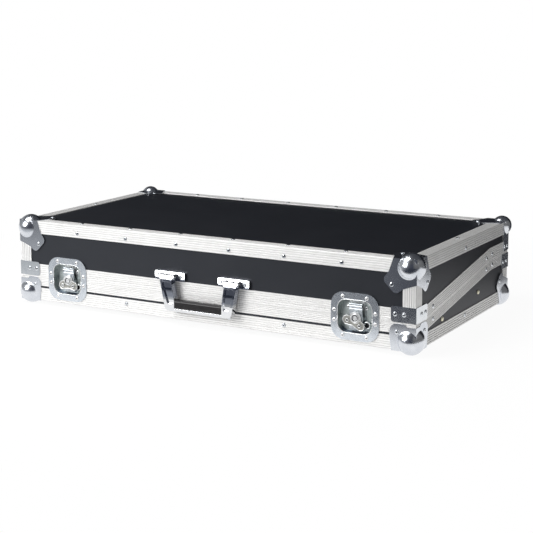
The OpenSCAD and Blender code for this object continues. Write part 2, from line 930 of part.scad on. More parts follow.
// A rectangle with round corners, centred
module round_rect(w, h, r) {
    square([w - 2 * r, h], center = true);
    square([w, h - 2 * r], center = true);
    for (x = [-1, 1]) for (y = [-1, 1])
        translate([x * (w / 2 - r), y * (h / 2 - r)]) circle(r);
}

// A bowl with leaning walls, from its mouth on the face to its floor at depth d
module bowl(w, h, r, d, draft) {
    for (x = [-1, 1]) for (z = [-1, 1])
        translate([x * (w / 2 - r), 0, z * (h / 2 - r)])
            rotate([-90, 0, 0]) cylinder(r1 = r, r2 = r - draft, h = d);
    translate([r - w / 2, 0, 0]) rotate([90, 0, 90]) linear_extrude(w - 2 * r)
        polygon([[0, -h / 2], [d, draft - h / 2], [d, h / 2 - draft], [0, h / 2]]);
    translate([0, 0, r - h / 2]) linear_extrude(h - 2 * r)
        polygon([[-w / 2, 0], [w / 2, 0], [w / 2 - draft, d], [draft - w / 2, d]]);
}

module dish() {
    difference() {
        union() {
            rotate([90, 0, 0]) linear_extrude(steel_t) round_rect(dish_w, dish_h, dish_r);
            bowl(mouth_w + 2 * steel_t, mouth_h + 2 * steel_t, mouth_r + steel_t,
                dish_depth + steel_t, dish_draft);
        }
        bowl(mouth_w, mouth_h, mouth_r, dish_depth, dish_draft);
        rotate([90, 0, 0])
            linear_extrude(steel_t + over) round_rect(mouth_w, mouth_h, mouth_r);
    }
}

// Half of the dish and the rivets through its flange, above or below the parting line
dish_rivets = [[28, 42], [48, 11]];
module dish_half(side_z) {
    intersection() {
        dish();
        translate([-dish_w, -dish_w, side_z > 0 ? half_gap : -half_gap - dish_w])
            cube([2 * dish_w, 2 * dish_w, dish_w]);
    }
    for (x = [-1, 1]) for (p = dish_rivets)
        translate([x * p[0], -steel_t, side_z * p[1]]) rotate([90, 0, 0]) small_rivet();
}

// Eyelet pressed into the floor of the lower half
eyelet_at = [24, -18];
eyelet_r = 7.5;
eyelet_wall = 2;
eyelet_h = 4;
module latch_dish(side) {
    at_latch(side) {
        dish_half(-1);
        translate([eyelet_at[0], dish_depth, eyelet_at[1]]) rotate([90, 0, 0])
            linear_extrude(eyelet_h) difference() {
                circle(eyelet_r);
                circle(eyelet_r - eyelet_wall);
            }
    }
}

module latch_dish_left() {
    color(zinc) in_frame() latch_dish(-1);
}

module latch_dish_right() {
    color(zinc) in_frame() latch_dish(1);
}

// Rivets of the keeper, high up in the upper half
keeper_rivet = [21, 18];
module keeper_dish(side) {
    at_latch(side) {
        dish_half(1);
        for (x = [-1, 1])
            translate([x * keeper_rivet[0], dish_depth, keeper_rivet[1]])
                rotate([90, 0, 0]) small_rivet();
    }
}

module keeper_dish_left() {
    color(zinc) in_frame() keeper_dish(-1);
}

module keeper_dish_right() {
    color(zinc) in_frame() keeper_dish(1);
}

// Depths of the layers of the mechanism, inwards from the face
wing_front = 0.55;
wing_t = 2.4;
claw_front = wing_front + wing_t + gap;
claw_t = 1.6;
hook_r = 2.5;
claw_lip_t = 1.4;
bridge_front = 7;
bridge_t = 2;
washer_r = 6.5;
washer_t = 1;
// The claw's top at rest leaves room for its travel under the dish's leaning upper wall
hook_back = claw_front + 2 * hook_r;
claw_top = mouth_h / 2 - dish_draft * hook_back / dish_depth - claw_travel - gap;
claw_foot = -27;
shaft_r = 4;
boss_r = 10;
boss_out = 0.6;
collar_r = 13;
ear_w = 3.4;
pivot_pin_r = 0.9;
wing_mid = wing_front + wing_t / 2;

// The lip on the lid that the hook of the claw pulls down
keeper_w = 34;
keeper_t = 1.2;
keeper_lip_out = 3.2;
keeper_lip_front = dish_depth - keeper_lip_out;
keeper_lip_h = 2.5;
keeper_low = 12;
keeper_high = 31;
module keepers() {
    color(alu) in_frame() for (side = [-1, 1]) at_latch(side) {
        translate([-keeper_w / 2, dish_depth - keeper_t, keeper_low])
            cube([keeper_w, keeper_t, keeper_high - keeper_low]);
        translate([-keeper_w / 2, keeper_lip_front,
            claw_top - 2 * hook_r - gap - keeper_lip_h])
            cube([keeper_w, dish_depth - keeper_t - keeper_lip_front, keeper_lip_h]);
    }
}

// Bridge in the lower half that carries the spindle and guides the claw
bridge_w = 30;
bridge_top = 5;
bridge_low = -30;
guide_w = 1.6;
guide_z = [-9.5, -1.5];
module latch_bridge(side) {
    at_latch(side) difference() {
        union() {
            translate([-bridge_w / 2, bridge_front, bridge_low])
                cube([bridge_w, bridge_t, bridge_top - bridge_low]);
            for (x = [-1, 1]) {
                translate([x * (bridge_w - bridge_t) / 2 - bridge_t / 2,
                    bridge_front, bridge_low])
                    cube([bridge_t, dish_depth - bridge_front, -half_gap - bridge_low]);
                translate([x * (claw_w / 2 + gap + guide_w / 2) - guide_w / 2,
                    claw_front, guide_z[0]])
                    cube([guide_w, dish_depth - claw_front, guide_z[1] - guide_z[0]]);
            }
        }
        translate([0, bridge_front - over, -spindle_drop]) rotate([-90, 0, 0])
            cylinder(r = shaft_r + run_fit, h = bridge_t + 2 * over);
    }
}

module latch_bridge_left() {
    color(zinc) in_frame() latch_bridge(-1);
}

module latch_bridge_right() {
    color(zinc) in_frame() latch_bridge(1);
}

// Claw: a plate with a slot for the shaft, folded sides and a rolled hook at the top
module claw(side) {
    slot_r = shaft_r + gap;
    at_latch(side) {
        difference() {
            union() {
                translate([-claw_w / 2, claw_front, claw_foot])
                    cube([claw_w, claw_t, claw_top - hook_r - claw_foot]);
                for (x = [-1, 1])
                    translate([x * (claw_w - claw_lip_t) / 2 - claw_lip_t / 2,
                        claw_front, claw_foot])
                        cube([claw_lip_t, bridge_front - gap - claw_front,
                            claw_top - 4 * hook_r - claw_foot]);
            }
            for (z = [-spindle_drop, -spindle_drop - claw_travel])
                translate([0, claw_front - over, z]) rotate([-90, 0, 0])
                    cylinder(r = slot_r, h = claw_t + 2 * over);
            translate([-slot_r, claw_front - over, -spindle_drop - claw_travel])
                cube([2 * slot_r, claw_t + 2 * over, claw_travel]);
        }
        translate([-claw_w / 2, claw_front + hook_r, claw_top - hook_r])
            rotate([0, 90, 0]) cylinder(r = hook_r, h = claw_w);
    }
}

module claw_left() {
    color(zinc) in_frame() claw(-1);
}

module claw_right() {
    color(zinc) in_frame() claw(1);
}

// Works on the spindle's axis, at the middle of the wings, turned as the latch rests
module at_spindle(side) {
    at_latch(side) translate([0, wing_mid, -spindle_drop])
        rotate([0, side > 0 ? right_turn : 0, 0]) children();
}

// Spindle: a boss with a screw head, half a collar, a shaft, a washer and two pivot pins
screw_r = 5.5;
screw_h = 0.8;
slot_w = 1.4;
collar_rise = wing_t / 2 + gap;
module spindle(side) {
    at_spindle(side) {
        rotate([-90, 0, 0]) difference() {
            translate([0, 0, -wing_mid - boss_out])
                cylinder(r = boss_r, h = wing_mid + boss_out + wing_t / 2);
            translate([0, 0, -wing_mid - boss_out - over])
                cylinder(r = screw_r + gap, h = screw_h + over);
        }
        rotate([-90, 0, 0]) difference() {
            translate([0, 0, -wing_mid - boss_out]) cylinder(r = screw_r, h = 2 * screw_h);
            translate([-screw_r, -slot_w / 2, -wing_mid - boss_out - over])
                cube([2 * screw_r, slot_w, screw_h + over]);
        }
        intersection() {
            rotate([-90, 0, 0]) translate([0, 0, -wing_t / 2]) difference() {
                cylinder(r = collar_r, h = wing_t);
                translate([0, 0, -over]) cylinder(r = boss_r - over, h = wing_t + 2 * over);
            }
            translate([-collar_r, -collar_r, collar_rise])
                cube([2 * collar_r, 2 * collar_r, collar_r]);
        }
        rotate([-90, 0, 0])
            cylinder(r = shaft_r, h = bridge_front + bridge_t + gap + washer_t - wing_mid);
        translate([0, bridge_front + bridge_t + gap - wing_mid, 0]) rotate([-90, 0, 0])
            cylinder(r = washer_r, h = washer_t);
        for (x = [-1, 1])
            translate([x > 0 ? boss_r - over : -boss_r - gap - ear_w, 0, 0])
                rotate([0, 90, 0]) cylinder(r = pivot_pin_r, h = ear_w + gap + over);
    }
}

module spindle_left() {
    color(zinc) in_frame() spindle(-1);
}

module spindle_right() {
    color(zinc) in_frame() spindle(1);
}

// Butterfly: two wings below the boss, on ears that turn on the spindle's pivot pins
wing_r = 10;
wing_spread = 17;
wing_waist_r = 2.5;
wing_hole_r = 2;
wing_hole = [15, -12];
wing_place = [wing_spread, -sqrt(pow(wing_reach - wing_r, 2) - pow(wing_spread, 2))];
module wing_outline() {
    ear_out = boss_r + gap + ear_w;
    difference() {
        for (x = [-1, 1]) hull() {
            translate([x * wing_place[0], wing_place[1]]) circle(wing_r, $fn = 32);
            translate([x * ear_out / 2 - ear_out / 2, -wing_t / 2]) square([ear_out, wing_t / 2]);
            translate([0, -collar_r]) circle(wing_waist_r, $fn = 16);
        }
        circle(boss_r + gap);
        translate([-2 * wing_reach, 0]) square([4 * wing_reach, 2 * wing_reach]);
        for (x = [-1, 1]) translate([x * wing_hole[0], wing_hole[1]]) circle(wing_hole_r);
    }
}

module butterfly(side) {
    ear_x = boss_r + gap;
    at_spindle(side) difference() {
        union() {
            rotate([90, 0, 0]) translate([0, 0, -wing_t / 2])
                linear_extrude(wing_t) wing_outline();
            for (x = [-1, 1])
                translate([x > 0 ? ear_x : -ear_x - ear_w, 0, 0]) rotate([0, 90, 0])
                    cylinder(r = wing_t / 2, h = ear_w);
        }
        translate([-collar_r - 2 * ear_w, 0, 0]) rotate([0, 90, 0])
            cylinder(r = pivot_pin_r + run_fit, h = 2 * collar_r + 4 * ear_w);
    }
}

module butterfly_left() {
    color(zinc) in_frame() butterfly(-1);
}

module butterfly_right() {
    color(zinc) in_frame() butterfly(1);
}

// Handle

pivot_z = part_front_z + pivot_up;
pivot_r = 6.5;
pivot_pin = 2.5;
lug_t = 4;
plate_r = 3;
screw_spread = 28;
head_r = 4.2;
head_h = 1.6;
cross_w = 1.2;
module at_handle(side) {
    translate([side * handle_span / 2, 0, pivot_z]) children();
}

// Hinge plates: a plate with round ends, two lugs and the pin between them
module handle_plates() {
    lug_in = arm_w / 2 + gap;
    color(chrome) in_frame() for (side = [-1, 1]) at_handle(side) {
        translate([0, edge_wall, 0]) rotate([90, 0, 0])
            linear_extrude(plate_t) round_rect(plate_w, plate_h, plate_r);
        for (x = [-1, 1])
            translate([x > 0 ? lug_in : -lug_in - lug_t, 0, 0]) {
                translate([0, -pivot_out, 0]) rotate([0, 90, 0])
                    cylinder(r = pivot_r, h = lug_t);
                translate([0, -pivot_out, -pivot_r])
                    cube([lug_t, pivot_out, 2 * pivot_r]);
            }
        translate([-lug_in - lug_t, -pivot_out, 0]) rotate([0, 90, 0])
            cylinder(r = pivot_pin, h = 2 * (lug_in + lug_t));
    }
}

module handle_screws() {
    color(zinc) in_frame() for (side = [-1, 1]) at_handle(side)
        for (x = [-1, 1])
            translate([x * screw_spread, edge_wall - plate_t, 0])
                rotate([90, 0, 0]) difference() {
                rotate_extrude() polygon(concat([[0, 0], [head_r, 0]],
                    [for (s = dome_shares) [head_r * s[0], head_h * s[1]]],
                    [[0, head_h]]));
                for (turn = [0, 90]) rotate(turn)
                    translate([-head_r / 2, -cross_w / 2, head_h / 2])
                        cube([head_r, cross_w, head_h]);
            }
}

// Bail: two tapering channel arms and a bottom bar, cast in one piece.
// Its outline is drawn from the front with the pivots at height 0.
bar_h = 6.5;
arm_foot = 24;
arm_rim = 3;
channel_d = 4;
foot_r = 12;
bail_r = 4;
function bail_side() =
    let (
        x0 = handle_span / 2 - arm_w / 2,
        x1 = handle_span / 2 + arm_w / 2,
        low = -handle_drop,
        bar = low + bar_h,
        foot = grip_w / 2
    )
    [[0, low, 0], [foot + arm_foot, low, foot_r], [x1, -pivot_r - bail_r, 0], [x1, 0, 0],
        [x0, 0, 0], [x0, -pivot_r - bail_r, 0], [foot, bar + grip_h + bail_r, bail_r],
        [foot, bar, 0], [0, bar, 0]];

// The hollow in the front of an arm
function bail_channel() =
    let (
        x0 = handle_span / 2 - arm_w / 2 + arm_rim,
        x1 = handle_span / 2 + arm_w / 2 - arm_rim,
        low = -handle_drop + bar_h,
        foot = grip_w / 2
    )
    [[foot + arm_rim, low + grip_h, bail_r], [foot + arm_rim, low + grip_h / 2, bail_r],
        [foot + arm_foot - 2 * arm_rim, low + grip_h / 2, bail_r],
        [x1, -pivot_r - bail_r, bail_r], [x0, -pivot_r - bail_r, bail_r]];

// Distance from the front face to the back of the arms
arm_back = pivot_out - arm_d / 2;
module handle_bail() {
    color(chrome) in_frame() translate([0, -arm_back, pivot_z]) difference() {
        union() {
            for (side = [0, 1]) mirror([side, 0, 0]) rotate([90, 0, 0])
                linear_extrude(arm_d) polygon(rounded(bail_side()));
            for (side = [-1, 1])
                translate([side * handle_span / 2 - arm_w / 2, -arm_d / 2, 0])
                    rotate([0, 90, 0]) cylinder(r = pivot_r + gap, h = arm_w);
        }
        for (side = [-1, 1])
            translate([side * handle_span / 2 - arm_w, -arm_d / 2, 0])
                rotate([0, 90, 0]) cylinder(r = pivot_pin + run_fit, h = 2 * arm_w);
        for (side = [0, 1]) mirror([side, 0, 0])
            translate([0, -arm_d + channel_d, 0]) rotate([90, 0, 0])
                linear_extrude(channel_d + over) polygon(rounded(bail_channel()));
        for (side = [-1, 1])
            translate([side * handle_span / 2 - arm_w / 2 - over, -arm_d / 2, 0])
                head_room();
    }
}

// Cuts the square top of the arms back to the round eyes
eye_drop = 1.6;
module head_room() {
    difference() {
        translate([0, -2 * pivot_r, -eye_drop])
            cube([arm_w + 2 * over, 4 * pivot_r, 3 * pivot_r]);
        translate([-over, 0, 0]) rotate([0, 90, 0])
            cylinder(r = pivot_r + gap, h = arm_w + 4 * over);
    }
}

// Grip: a ribbed rubber bar that fills the bail above its bottom bar
grip_ribs = 4;
grip_rib_d = 1.2;
grip_soft = 4;
grip_steps = 4;
function grip_section() =
    let (pitch = (grip_h - 2 * grip_soft) / grip_ribs)
    rounded(concat([[0, 0, 0], [0, grip_h, 0], [-arm_d, grip_h, grip_soft]],
        [for (k = [grip_ribs:-1:1])
            for (p = [[0, 0.75], [grip_rib_d, 0.5], [0, 0.25]])
                [-arm_d + p[0], grip_soft + (k - 1 + p[1]) * pitch, 0]],
        [[-arm_d, 0, grip_soft]]), grip_steps);

module handle_grip() {
    color(rubber) in_frame()
        translate([-grip_w / 2, -arm_back, pivot_z - handle_drop + bar_h])
        rotate([90, 0, 90]) linear_extrude(grip_w) polygon(grip_section());
}

// Hinges. Each works in its own frame: the origin is on the back face at the parting line.

leaf_r = 3;
lid_leaf_h = 27;
knuckle_room = knuckle_r + gap;
module at_hinge(side) {
    translate([side * latch_x, case_d, part_back_z]) children();
}

// The leaf above the parting line with the knuckles at places of a third of its width
module hinge_leaf(h, places) {
    third = hinge_w / 3;
    translate([0, 0, (knuckle_room + h) / 2]) rotate([-90, 0, 0])
        linear_extrude(leaf_t) round_rect(hinge_w, h - knuckle_room, leaf_r);
    difference() {
        for (k = places) translate([(k - 0.5) * third + gap / 2, 0, 0]) {
            translate([0, hinge_out, 0]) rotate([0, 90, 0])
                cylinder(r = knuckle_r, h = third - gap);
            translate([0, 0, half_gap])
                cube([third - gap, hinge_out, knuckle_r - half_gap]);
            translate([0, 0, half_gap])
                cube([third - gap, leaf_t, knuckle_room + leaf_r - half_gap]);
        }
        translate([-hinge_w, hinge_out, 0]) rotate([0, 90, 0]) cylinder(
            r = pin_r + run_fit, h = 2 * hinge_w);
    }
}

module hinge_base_leaves() {
    color(zinc) in_frame() for (side = [-1, 1]) at_hinge(side)
        mirror([0, 0, 1]) hinge_leaf(base_closing_h, [-1, 1]);
}

module hinge_lid_leaves() {
    color(zinc) in_frame() for (side = [-1, 1]) at_hinge(side)
        hinge_leaf(lid_leaf_h, [0]);
}

module hinge_pins() {
    color(zinc) in_frame() for (side = [-1, 1]) at_hinge(side)
        translate([-hinge_w / 2, hinge_out, 0]) rotate([0, 90, 0])
        cylinder(r = pin_r, h = hinge_w);
}

// Interior

// The rails follow the line of their two bolts through each side panel.
bolt_y = 144;
bolt_z = 39.5;
bolt_apart = 214;
bolt_climb = 16;
bolt_r = 3;
bolt_head_r = 5.5;
bolt_head_h = 3;
nut_h = 4;
rail_angle = atan2(bolt_climb, bolt_apart);
rail_hole_apart = 200;

module rail_bolt_places() {
    both_sides() for (k = [0, 1])
        on_face("right", bolt_y + k * bolt_apart, bolt_z + k * bolt_climb) children();
}

// Works at the middle of the right rail, on the panel's inner face and along the rail
module at_rail() {
    both_sides()
        translate([case_w / 2 - panel_in, bolt_y + bolt_apart / 2, bolt_z + bolt_climb / 2])
        rotate([rail_angle, 0, 0]) children();
}

module equipment_rails() {
    seat_mid = (rail_seat + rail_t) / 2;
    color(zinc) in_frame() difference() {
        at_rail() {
            translate([-rail_t, -rail_l / 2, -rail_h / 2]) cube([rail_t, rail_l, rail_h]);
            translate([-rail_seat, -rail_l / 2, rail_h / 2 - rail_t])
                cube([rail_seat, rail_l, rail_t]);
        }
        at_rail() for (k = [-1, 1])
            translate([-seat_mid, k * rail_hole_apart / 2, rail_h / 2 - rail_t - over])
                cylinder(r = rail_hole_r, h = rail_t + 2 * over);
        rail_bolt_places() translate([0, 0, -panel_in - rail_t - over])
            cylinder(r = bolt_r, h = rail_t + 2 * over);
    }
}

module rail_bolts() {
    color(zinc) in_frame() rail_bolt_places() {
        translate([0, 0, -edge_wall]) rotate_extrude() polygon(concat(
            [[0, 0], [bolt_head_r, 0]],
            [for (s = dome_shares) [bolt_head_r * s[0], bolt_head_h * s[1]]],
            [[0, bolt_head_h]]));
        translate([0, 0, -panel_in - rail_t - nut_h])
            cylinder(r = bolt_r, h = panel_t + rail_t + nut_h);
        translate([0, 0, -panel_in - rail_t - nut_h])
            cylinder(r = bolt_head_r, h = nut_h, $fn = 6);
    }
}

// A sheet of foam between the inner legs of the edge profiles
foam_r = 6;
module foam_sheet(z) {
    translate([0, case_d / 2, z]) linear_extrude(foam_t)
        round_rect(case_w - 2 * (inner_end + over), case_d - 2 * (inner_end + over), foam_r);
}

module base_foam() {
    color(foam_grey) in_frame() foam_sheet(panel_in);
}

module lid_foam() {
    color(foam_grey) in_frame() foam_sheet(case_h - panel_in - foam_t);
}

base_bottom_panel();
base_front_panel();
base_back_panel();
base_side_panels();
base_edge_front();
base_edge_back();
base_edge_left();
base_edge_right();
base_posts();
base_closing_front();
base_closing_back();
base_closing_left();
base_closing_right();
base_front_ball_corners();
base_rear_ball_corners();
base_braces();
base_edge_rivets();
base_corner_rivets();
latch_dish_left();
latch_dish_right();
latch_bridge_left();
latch_bridge_right();
equipment_rails();
rail_bolts();
base_foam();
hinge_base_leaves();
hinge_pins();
lid_top_panel();
lid_front_panel();
lid_back_panel();
lid_side_panels();
lid_edge_front();
lid_edge_back();
lid_edge_left();
lid_edge_right();
lid_posts();
lid_closing_front();
lid_closing_back();
lid_closing_left();
lid_closing_right();
lid_front_ball_corners();
lid_rear_ball_corners();
lid_braces();
lid_edge_rivets();
lid_corner_rivets();
keeper_dish_left();
keeper_dish_right();
keepers();
lid_foam();
hinge_lid_leaves();
handle_plates();
handle_screws();
handle_bail();
handle_grip();
claw_left();
claw_right();
spindle_left();
spindle_right();
butterfly_left();
butterfly_right();
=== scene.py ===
import math

import bmesh
import bpy
from mathutils import Matrix, Vector


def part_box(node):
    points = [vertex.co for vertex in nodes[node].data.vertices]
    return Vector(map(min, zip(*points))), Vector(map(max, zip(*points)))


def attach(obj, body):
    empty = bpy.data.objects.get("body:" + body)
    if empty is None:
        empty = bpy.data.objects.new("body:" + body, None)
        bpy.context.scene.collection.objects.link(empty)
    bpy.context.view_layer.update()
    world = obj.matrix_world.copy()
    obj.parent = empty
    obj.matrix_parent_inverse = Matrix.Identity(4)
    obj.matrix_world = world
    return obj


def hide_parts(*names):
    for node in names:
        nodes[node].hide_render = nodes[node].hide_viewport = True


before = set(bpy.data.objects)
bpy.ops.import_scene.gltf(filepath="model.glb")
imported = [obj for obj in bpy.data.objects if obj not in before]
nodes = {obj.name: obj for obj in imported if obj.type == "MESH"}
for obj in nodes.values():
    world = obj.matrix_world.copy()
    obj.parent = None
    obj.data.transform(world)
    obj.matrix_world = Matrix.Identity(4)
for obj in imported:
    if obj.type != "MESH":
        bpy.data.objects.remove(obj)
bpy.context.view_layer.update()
print("frame loaded:", len(nodes), "nodes")

# where the box of the case stands in the frame, in metres: front and middle along y, floor along z
case = {"height": 0.1925, "front": -0.268875, "floor": 0.0115, "middle": 0.004}


class Value:
    # a socket that can stand in sums
    def __init__(self, owner, socket):
        self.owner, self.socket = owner, socket

    def maths(self, operation, first, second):
        return self.owner.node("Math", {"operation": operation}, {0: first, 1: second})

    def __add__(self, other): return self.maths("ADD", self, other)
    def __radd__(self, other): return self.maths("ADD", other, self)
    def __sub__(self, other): return self.maths("SUBTRACT", self, other)
    def __rsub__(self, other): return self.maths("SUBTRACT", other, self)
    def __mul__(self, other): return self.maths("MULTIPLY", self, other)
    def __rmul__(self, other): return self.maths("MULTIPLY", other, self)
    def __truediv__(self, other): return self.maths("DIVIDE", self, other)
    def __rtruediv__(self, other): return self.maths("DIVIDE", other, self)
    def __gt__(self, other): return self.maths("GREATER_THAN", self, other)
    def __lt__(self, other): return self.maths("LESS_THAN", self, other)
    def most(self, other): return self.maths("MAXIMUM", self, other)


class Nodes:
    # the nodes of a material or of the world
    def __init__(self, owner):
        owner.use_nodes = True
        self.tree = owner.node_tree

    def put(self, made, inputs):
        for key, value in inputs.items():
            socket = made.inputs[key]
            if isinstance(value, Value):
                self.tree.links.new(value.socket, socket)
            elif socket.type == "RGBA" and len(value) == 3:
                socket.default_value = (*value, 1)
            else:
                socket.default_value = value

    def node(self, kind, settings=None, inputs=None, output=0):
        made = self.tree.nodes.new("ShaderNode" + kind)
        for key, value in (settings or {}).items():
            if key == "stops":
                ramp = made.color_ramp
                while len(ramp.elements) < len(value):
                    ramp.elements.new(0.5)
                for stop, (place, grey) in zip(ramp.elements, value):
                    stop.position = place
                    stop.color = (grey, grey, grey, 1)
            else:
                setattr(made, key, value)
        self.put(made, inputs or {})
        return Value(self, made.outputs[output])

    def openRays(self):
        # 1 on the rays that see the white of the studio: straight, in metal or through glass
        camera, glossy, through = (self.node("LightPath", output=f"Is {kind} Ray")
                                   for kind in ("Camera", "Glossy", "Transmission"))
        return camera.most(glossy).most(through)


class Finish(Nodes):
    # one material, on object coordinates
    def __init__(self, name, **fixed):
        self.material = bpy.data.materials.new(name)
        super().__init__(self.material)
        self.surface = self.tree.nodes["Principled BSDF"]
        self.finish(**fixed)
        self.place = self.node("TexCoord", output="Object")

    def normal(self):
        return self.node("TexCoord", output="Normal")

    def along(self, axis, vector=None):
        # one coordinate of a vector, or of the place on the object
        return self.node("SeparateXYZ", None, {0: vector or self.place}, output="xyz".index(axis))

    def stretch(self, *scale):
        return self.node("Mapping", None, {"Vector": self.place, "Scale": scale})

    def noise(self, scale, detail, roughness=0.5, place=None):
        return self.node("TexNoise", None, {"Vector": place or self.place, "Scale": scale,
                                            "Detail": detail, "Roughness": roughness})

    def rise(self, value, low, high):
        # from 0 at low to 1 at high
        return self.node("ValToRGB", {"stops": ((low, 0), (high, 1))}, {"Fac": value})

    def band(self, value, low, full, fade, high):
        # 1 from full to fade, and 0 below low and above high
        return self.node("ValToRGB", {"stops": ((low, 0), (full, 1), (fade, 1), (high, 0))}, {"Fac": value})

    def blend(self, share, first, second):
        return self.node("Mix", {"data_type": "RGBA"}, {0: share, 6: first, 7: second}, output=2)

    def bump(self, height, distance, strength, under=None):
        inputs = {"Height": height, "Distance": distance, "Strength": strength}
        if under is not None:
            inputs["Normal"] = under
        return self.node("Bump", None, inputs)

    def soft(self, radius):
        # edges that look rounded by this radius
        return self.node("Bevel", {"samples": 4}, {"Radius": radius})

    def finish(self, **inputs):
        self.put(self.surface, {key.replace("_", " "): value for key, value in inputs.items()})
        return self.material

    def show(self, shader):
        # this shader in place of the principled surface
        self.put(self.tree.nodes["Material Output"], {"Surface": shader})
        return self.material


# in every finish a noise is its scale, detail and roughness, a ramp is its ends,
# and a relief is its distance and strength
aluminium = {"pale": (0.865, 0.86, 0.85), "dull": (0.745, 0.74, 0.728), "metallic": 0.5,
             "across": 1400.0, "length": 0.8, "streaks": (1.0, 1), "clouds": (38.0, 4),
             "scuffs": (160, 5, 0.7), "scuffed": (0.55, 0.78),
             "streakShare": 0.6, "cloudShare": 0.4, "shade": (0.3, 0.7),
             # the flute colour is dust and painted shade in the flutes
             "flute": (0.26, 0.26, 0.255), "fluteShare": 0.42, "flat": 0.9,
             "roughness": 0.42, "streakRough": 0.12, "scuffRough": 0.08,
             "relief": (0.00001, 0.2), "edge": 0.0003}


def extrudedAluminium(name, axis):
    made = Finish(name, Metallic=aluminium["metallic"])
    scale = [aluminium["across"]] * 3
    scale["xyz".index(axis)] = aluminium["length"]
    streaks = made.noise(*aluminium["streaks"], place=made.stretch(*scale))
    clouds = made.noise(*aluminium["clouds"])
    scuffed = made.rise(made.noise(*aluminium["scuffs"]), *aluminium["scuffed"])
    mixed = streaks * aluminium["streakShare"] + clouds * aluminium["cloudShare"]
    color = made.blend(made.rise(mixed, *aluminium["shade"]), aluminium["dull"], aluminium["pale"])
    # the flutes lean away from every axis, and a darker colour in them is dust and painted shade
    lean = made.node("VectorMath", {"operation": "ABSOLUTE"}, {0: made.normal()})
    x, y, z = (made.along(letter, lean) for letter in "xyz")
    fluted = x.most(y.most(z)) < aluminium["flat"]
    color = made.blend(fluted * aluminium["fluteShare"], color, aluminium["flute"])
    rough = aluminium["roughness"] + streaks * aluminium["streakRough"] + scuffed * aluminium["scuffRough"]
    relief = made.bump(streaks, *aluminium["relief"], made.soft(aluminium["edge"]))
    return made.finish(Base_Color=color, Roughness=rough, Normal=relief)


laminate = {"face": (0.0045, 0.0051, 0.0072), "worn": (0.0085, 0.0091, 0.012), "specular": 0.62,
            "tint": (0.86, 0.9, 1.0), "grain": (900.0, 4, 0.6), "clouds": (9.0, 3), "dust": (430, 6, 0.75),
            "cloudShare": 0.7, "dustShare": 0.5, "shade": (0.3, 0.85), "dusty": (0.6, 0.8),
            "roughness": 0.38, "grainRough": 0.14, "cloudRough": 0.05,
            "relief": (0.00012, 0.5), "edge": 0.0004}


def blackLaminate():
    made = Finish("blackLaminate", Metallic=0.0, Specular_IOR_Level=laminate["specular"],
                  Specular_Tint=laminate["tint"])
    grain = made.noise(*laminate["grain"])
    clouds = made.noise(*laminate["clouds"])
    dust = made.rise(made.noise(*laminate["dust"]), *laminate["dusty"])
    mixed = clouds * laminate["cloudShare"] + dust * laminate["dustShare"]
    color = made.blend(made.rise(mixed, *laminate["shade"]), laminate["face"], laminate["worn"])
    rough = laminate["roughness"] + grain * laminate["grainRough"] + clouds * laminate["cloudRough"]
    relief = made.bump(grain, *laminate["relief"], made.soft(laminate["edge"]))
    return made.finish(Base_Color=color, Roughness=rough, Normal=relief)


bright = {"pale": (0.77, 0.79, 0.83), "dull": (0.62, 0.65, 0.70), "clouds": (60, 4, 0.6), "smears": (22, 3),
          "cloudShare": 0.5, "smearShare": 0.5, "shade": (0.35, 0.72), "roughness": 0.22,
          "dim": (0.4, 0.75), "dimRough": 0.04, "grain": (60, 2), "relief": (0.0001, 0.1)}


def brightPlate():
    made = Finish("ballPlate", Metallic=1.0)
    clouds = made.noise(*bright["clouds"])
    mixed = clouds * bright["cloudShare"] + made.noise(*bright["smears"]) * bright["smearShare"]
    color = made.blend(made.rise(mixed, *bright["shade"]), bright["pale"], bright["dull"])
    rough = bright["roughness"] + made.rise(clouds, *bright["dim"]) * bright["dimRough"]
    relief = made.bump(made.noise(*bright["grain"]), *bright["relief"])
    return made.finish(Base_Color=color, Roughness=rough, Normal=relief)


zinc = {"pale": (0.77, 0.795, 0.82), "dull": (0.69, 0.72, 0.75), "clouds": (62, 3), "broad": (24, 2),
        "cloudShare": 0.6, "broadShare": 0.4, "shade": (0.34, 0.68),
        "roughness": 0.17, "rivetRoughness": 0.18, "cloudRough": 0.12,
        "grain": (200, 2), "relief": (0.00005, 0.15)}


def zincPlate(name, roughness):
    made = Finish(name, Metallic=1.0)
    clouds = made.noise(*zinc["clouds"])
    mixed = clouds * zinc["cloudShare"] + made.noise(*zinc["broad"]) * zinc["broadShare"]
    color = made.blend(made.rise(mixed, *zinc["shade"]), zinc["pale"], zinc["dull"])
    relief = made.bump(made.noise(*zinc["grain"]), *zinc["relief"])
    return made.finish(Base_Color=color, Roughness=roughness + clouds * zinc["cloudRough"], Normal=relief)


passivated = {"flange": (0.74, 0.78, 0.825), "flangeDull": (0.64, 0.68, 0.73),
              "well": (0.60, 0.645, 0.635), "wellDull": (0.34, 0.385, 0.385), "wellFrom": 0.0003,
              "rivet": (0.93, 0.935, 0.94), "rivetFrom": 0.0016,
              "sill": (0.075, 0.10, 0.16), "sillShare": 0.85, "level": (0.35, 0.8), "metallic": 0.9,
              "clouds": (62, 3), "broad": (26, 2), "cloudShare": 0.7, "broadShare": 0.3,
              "shade": (0.36, 0.66), "flangeRough": 0.2, "wellRough": 0.4, "cloudRough": 0.1,
              "grain": (200, 2), "relief": (0.00005, 0.15)}


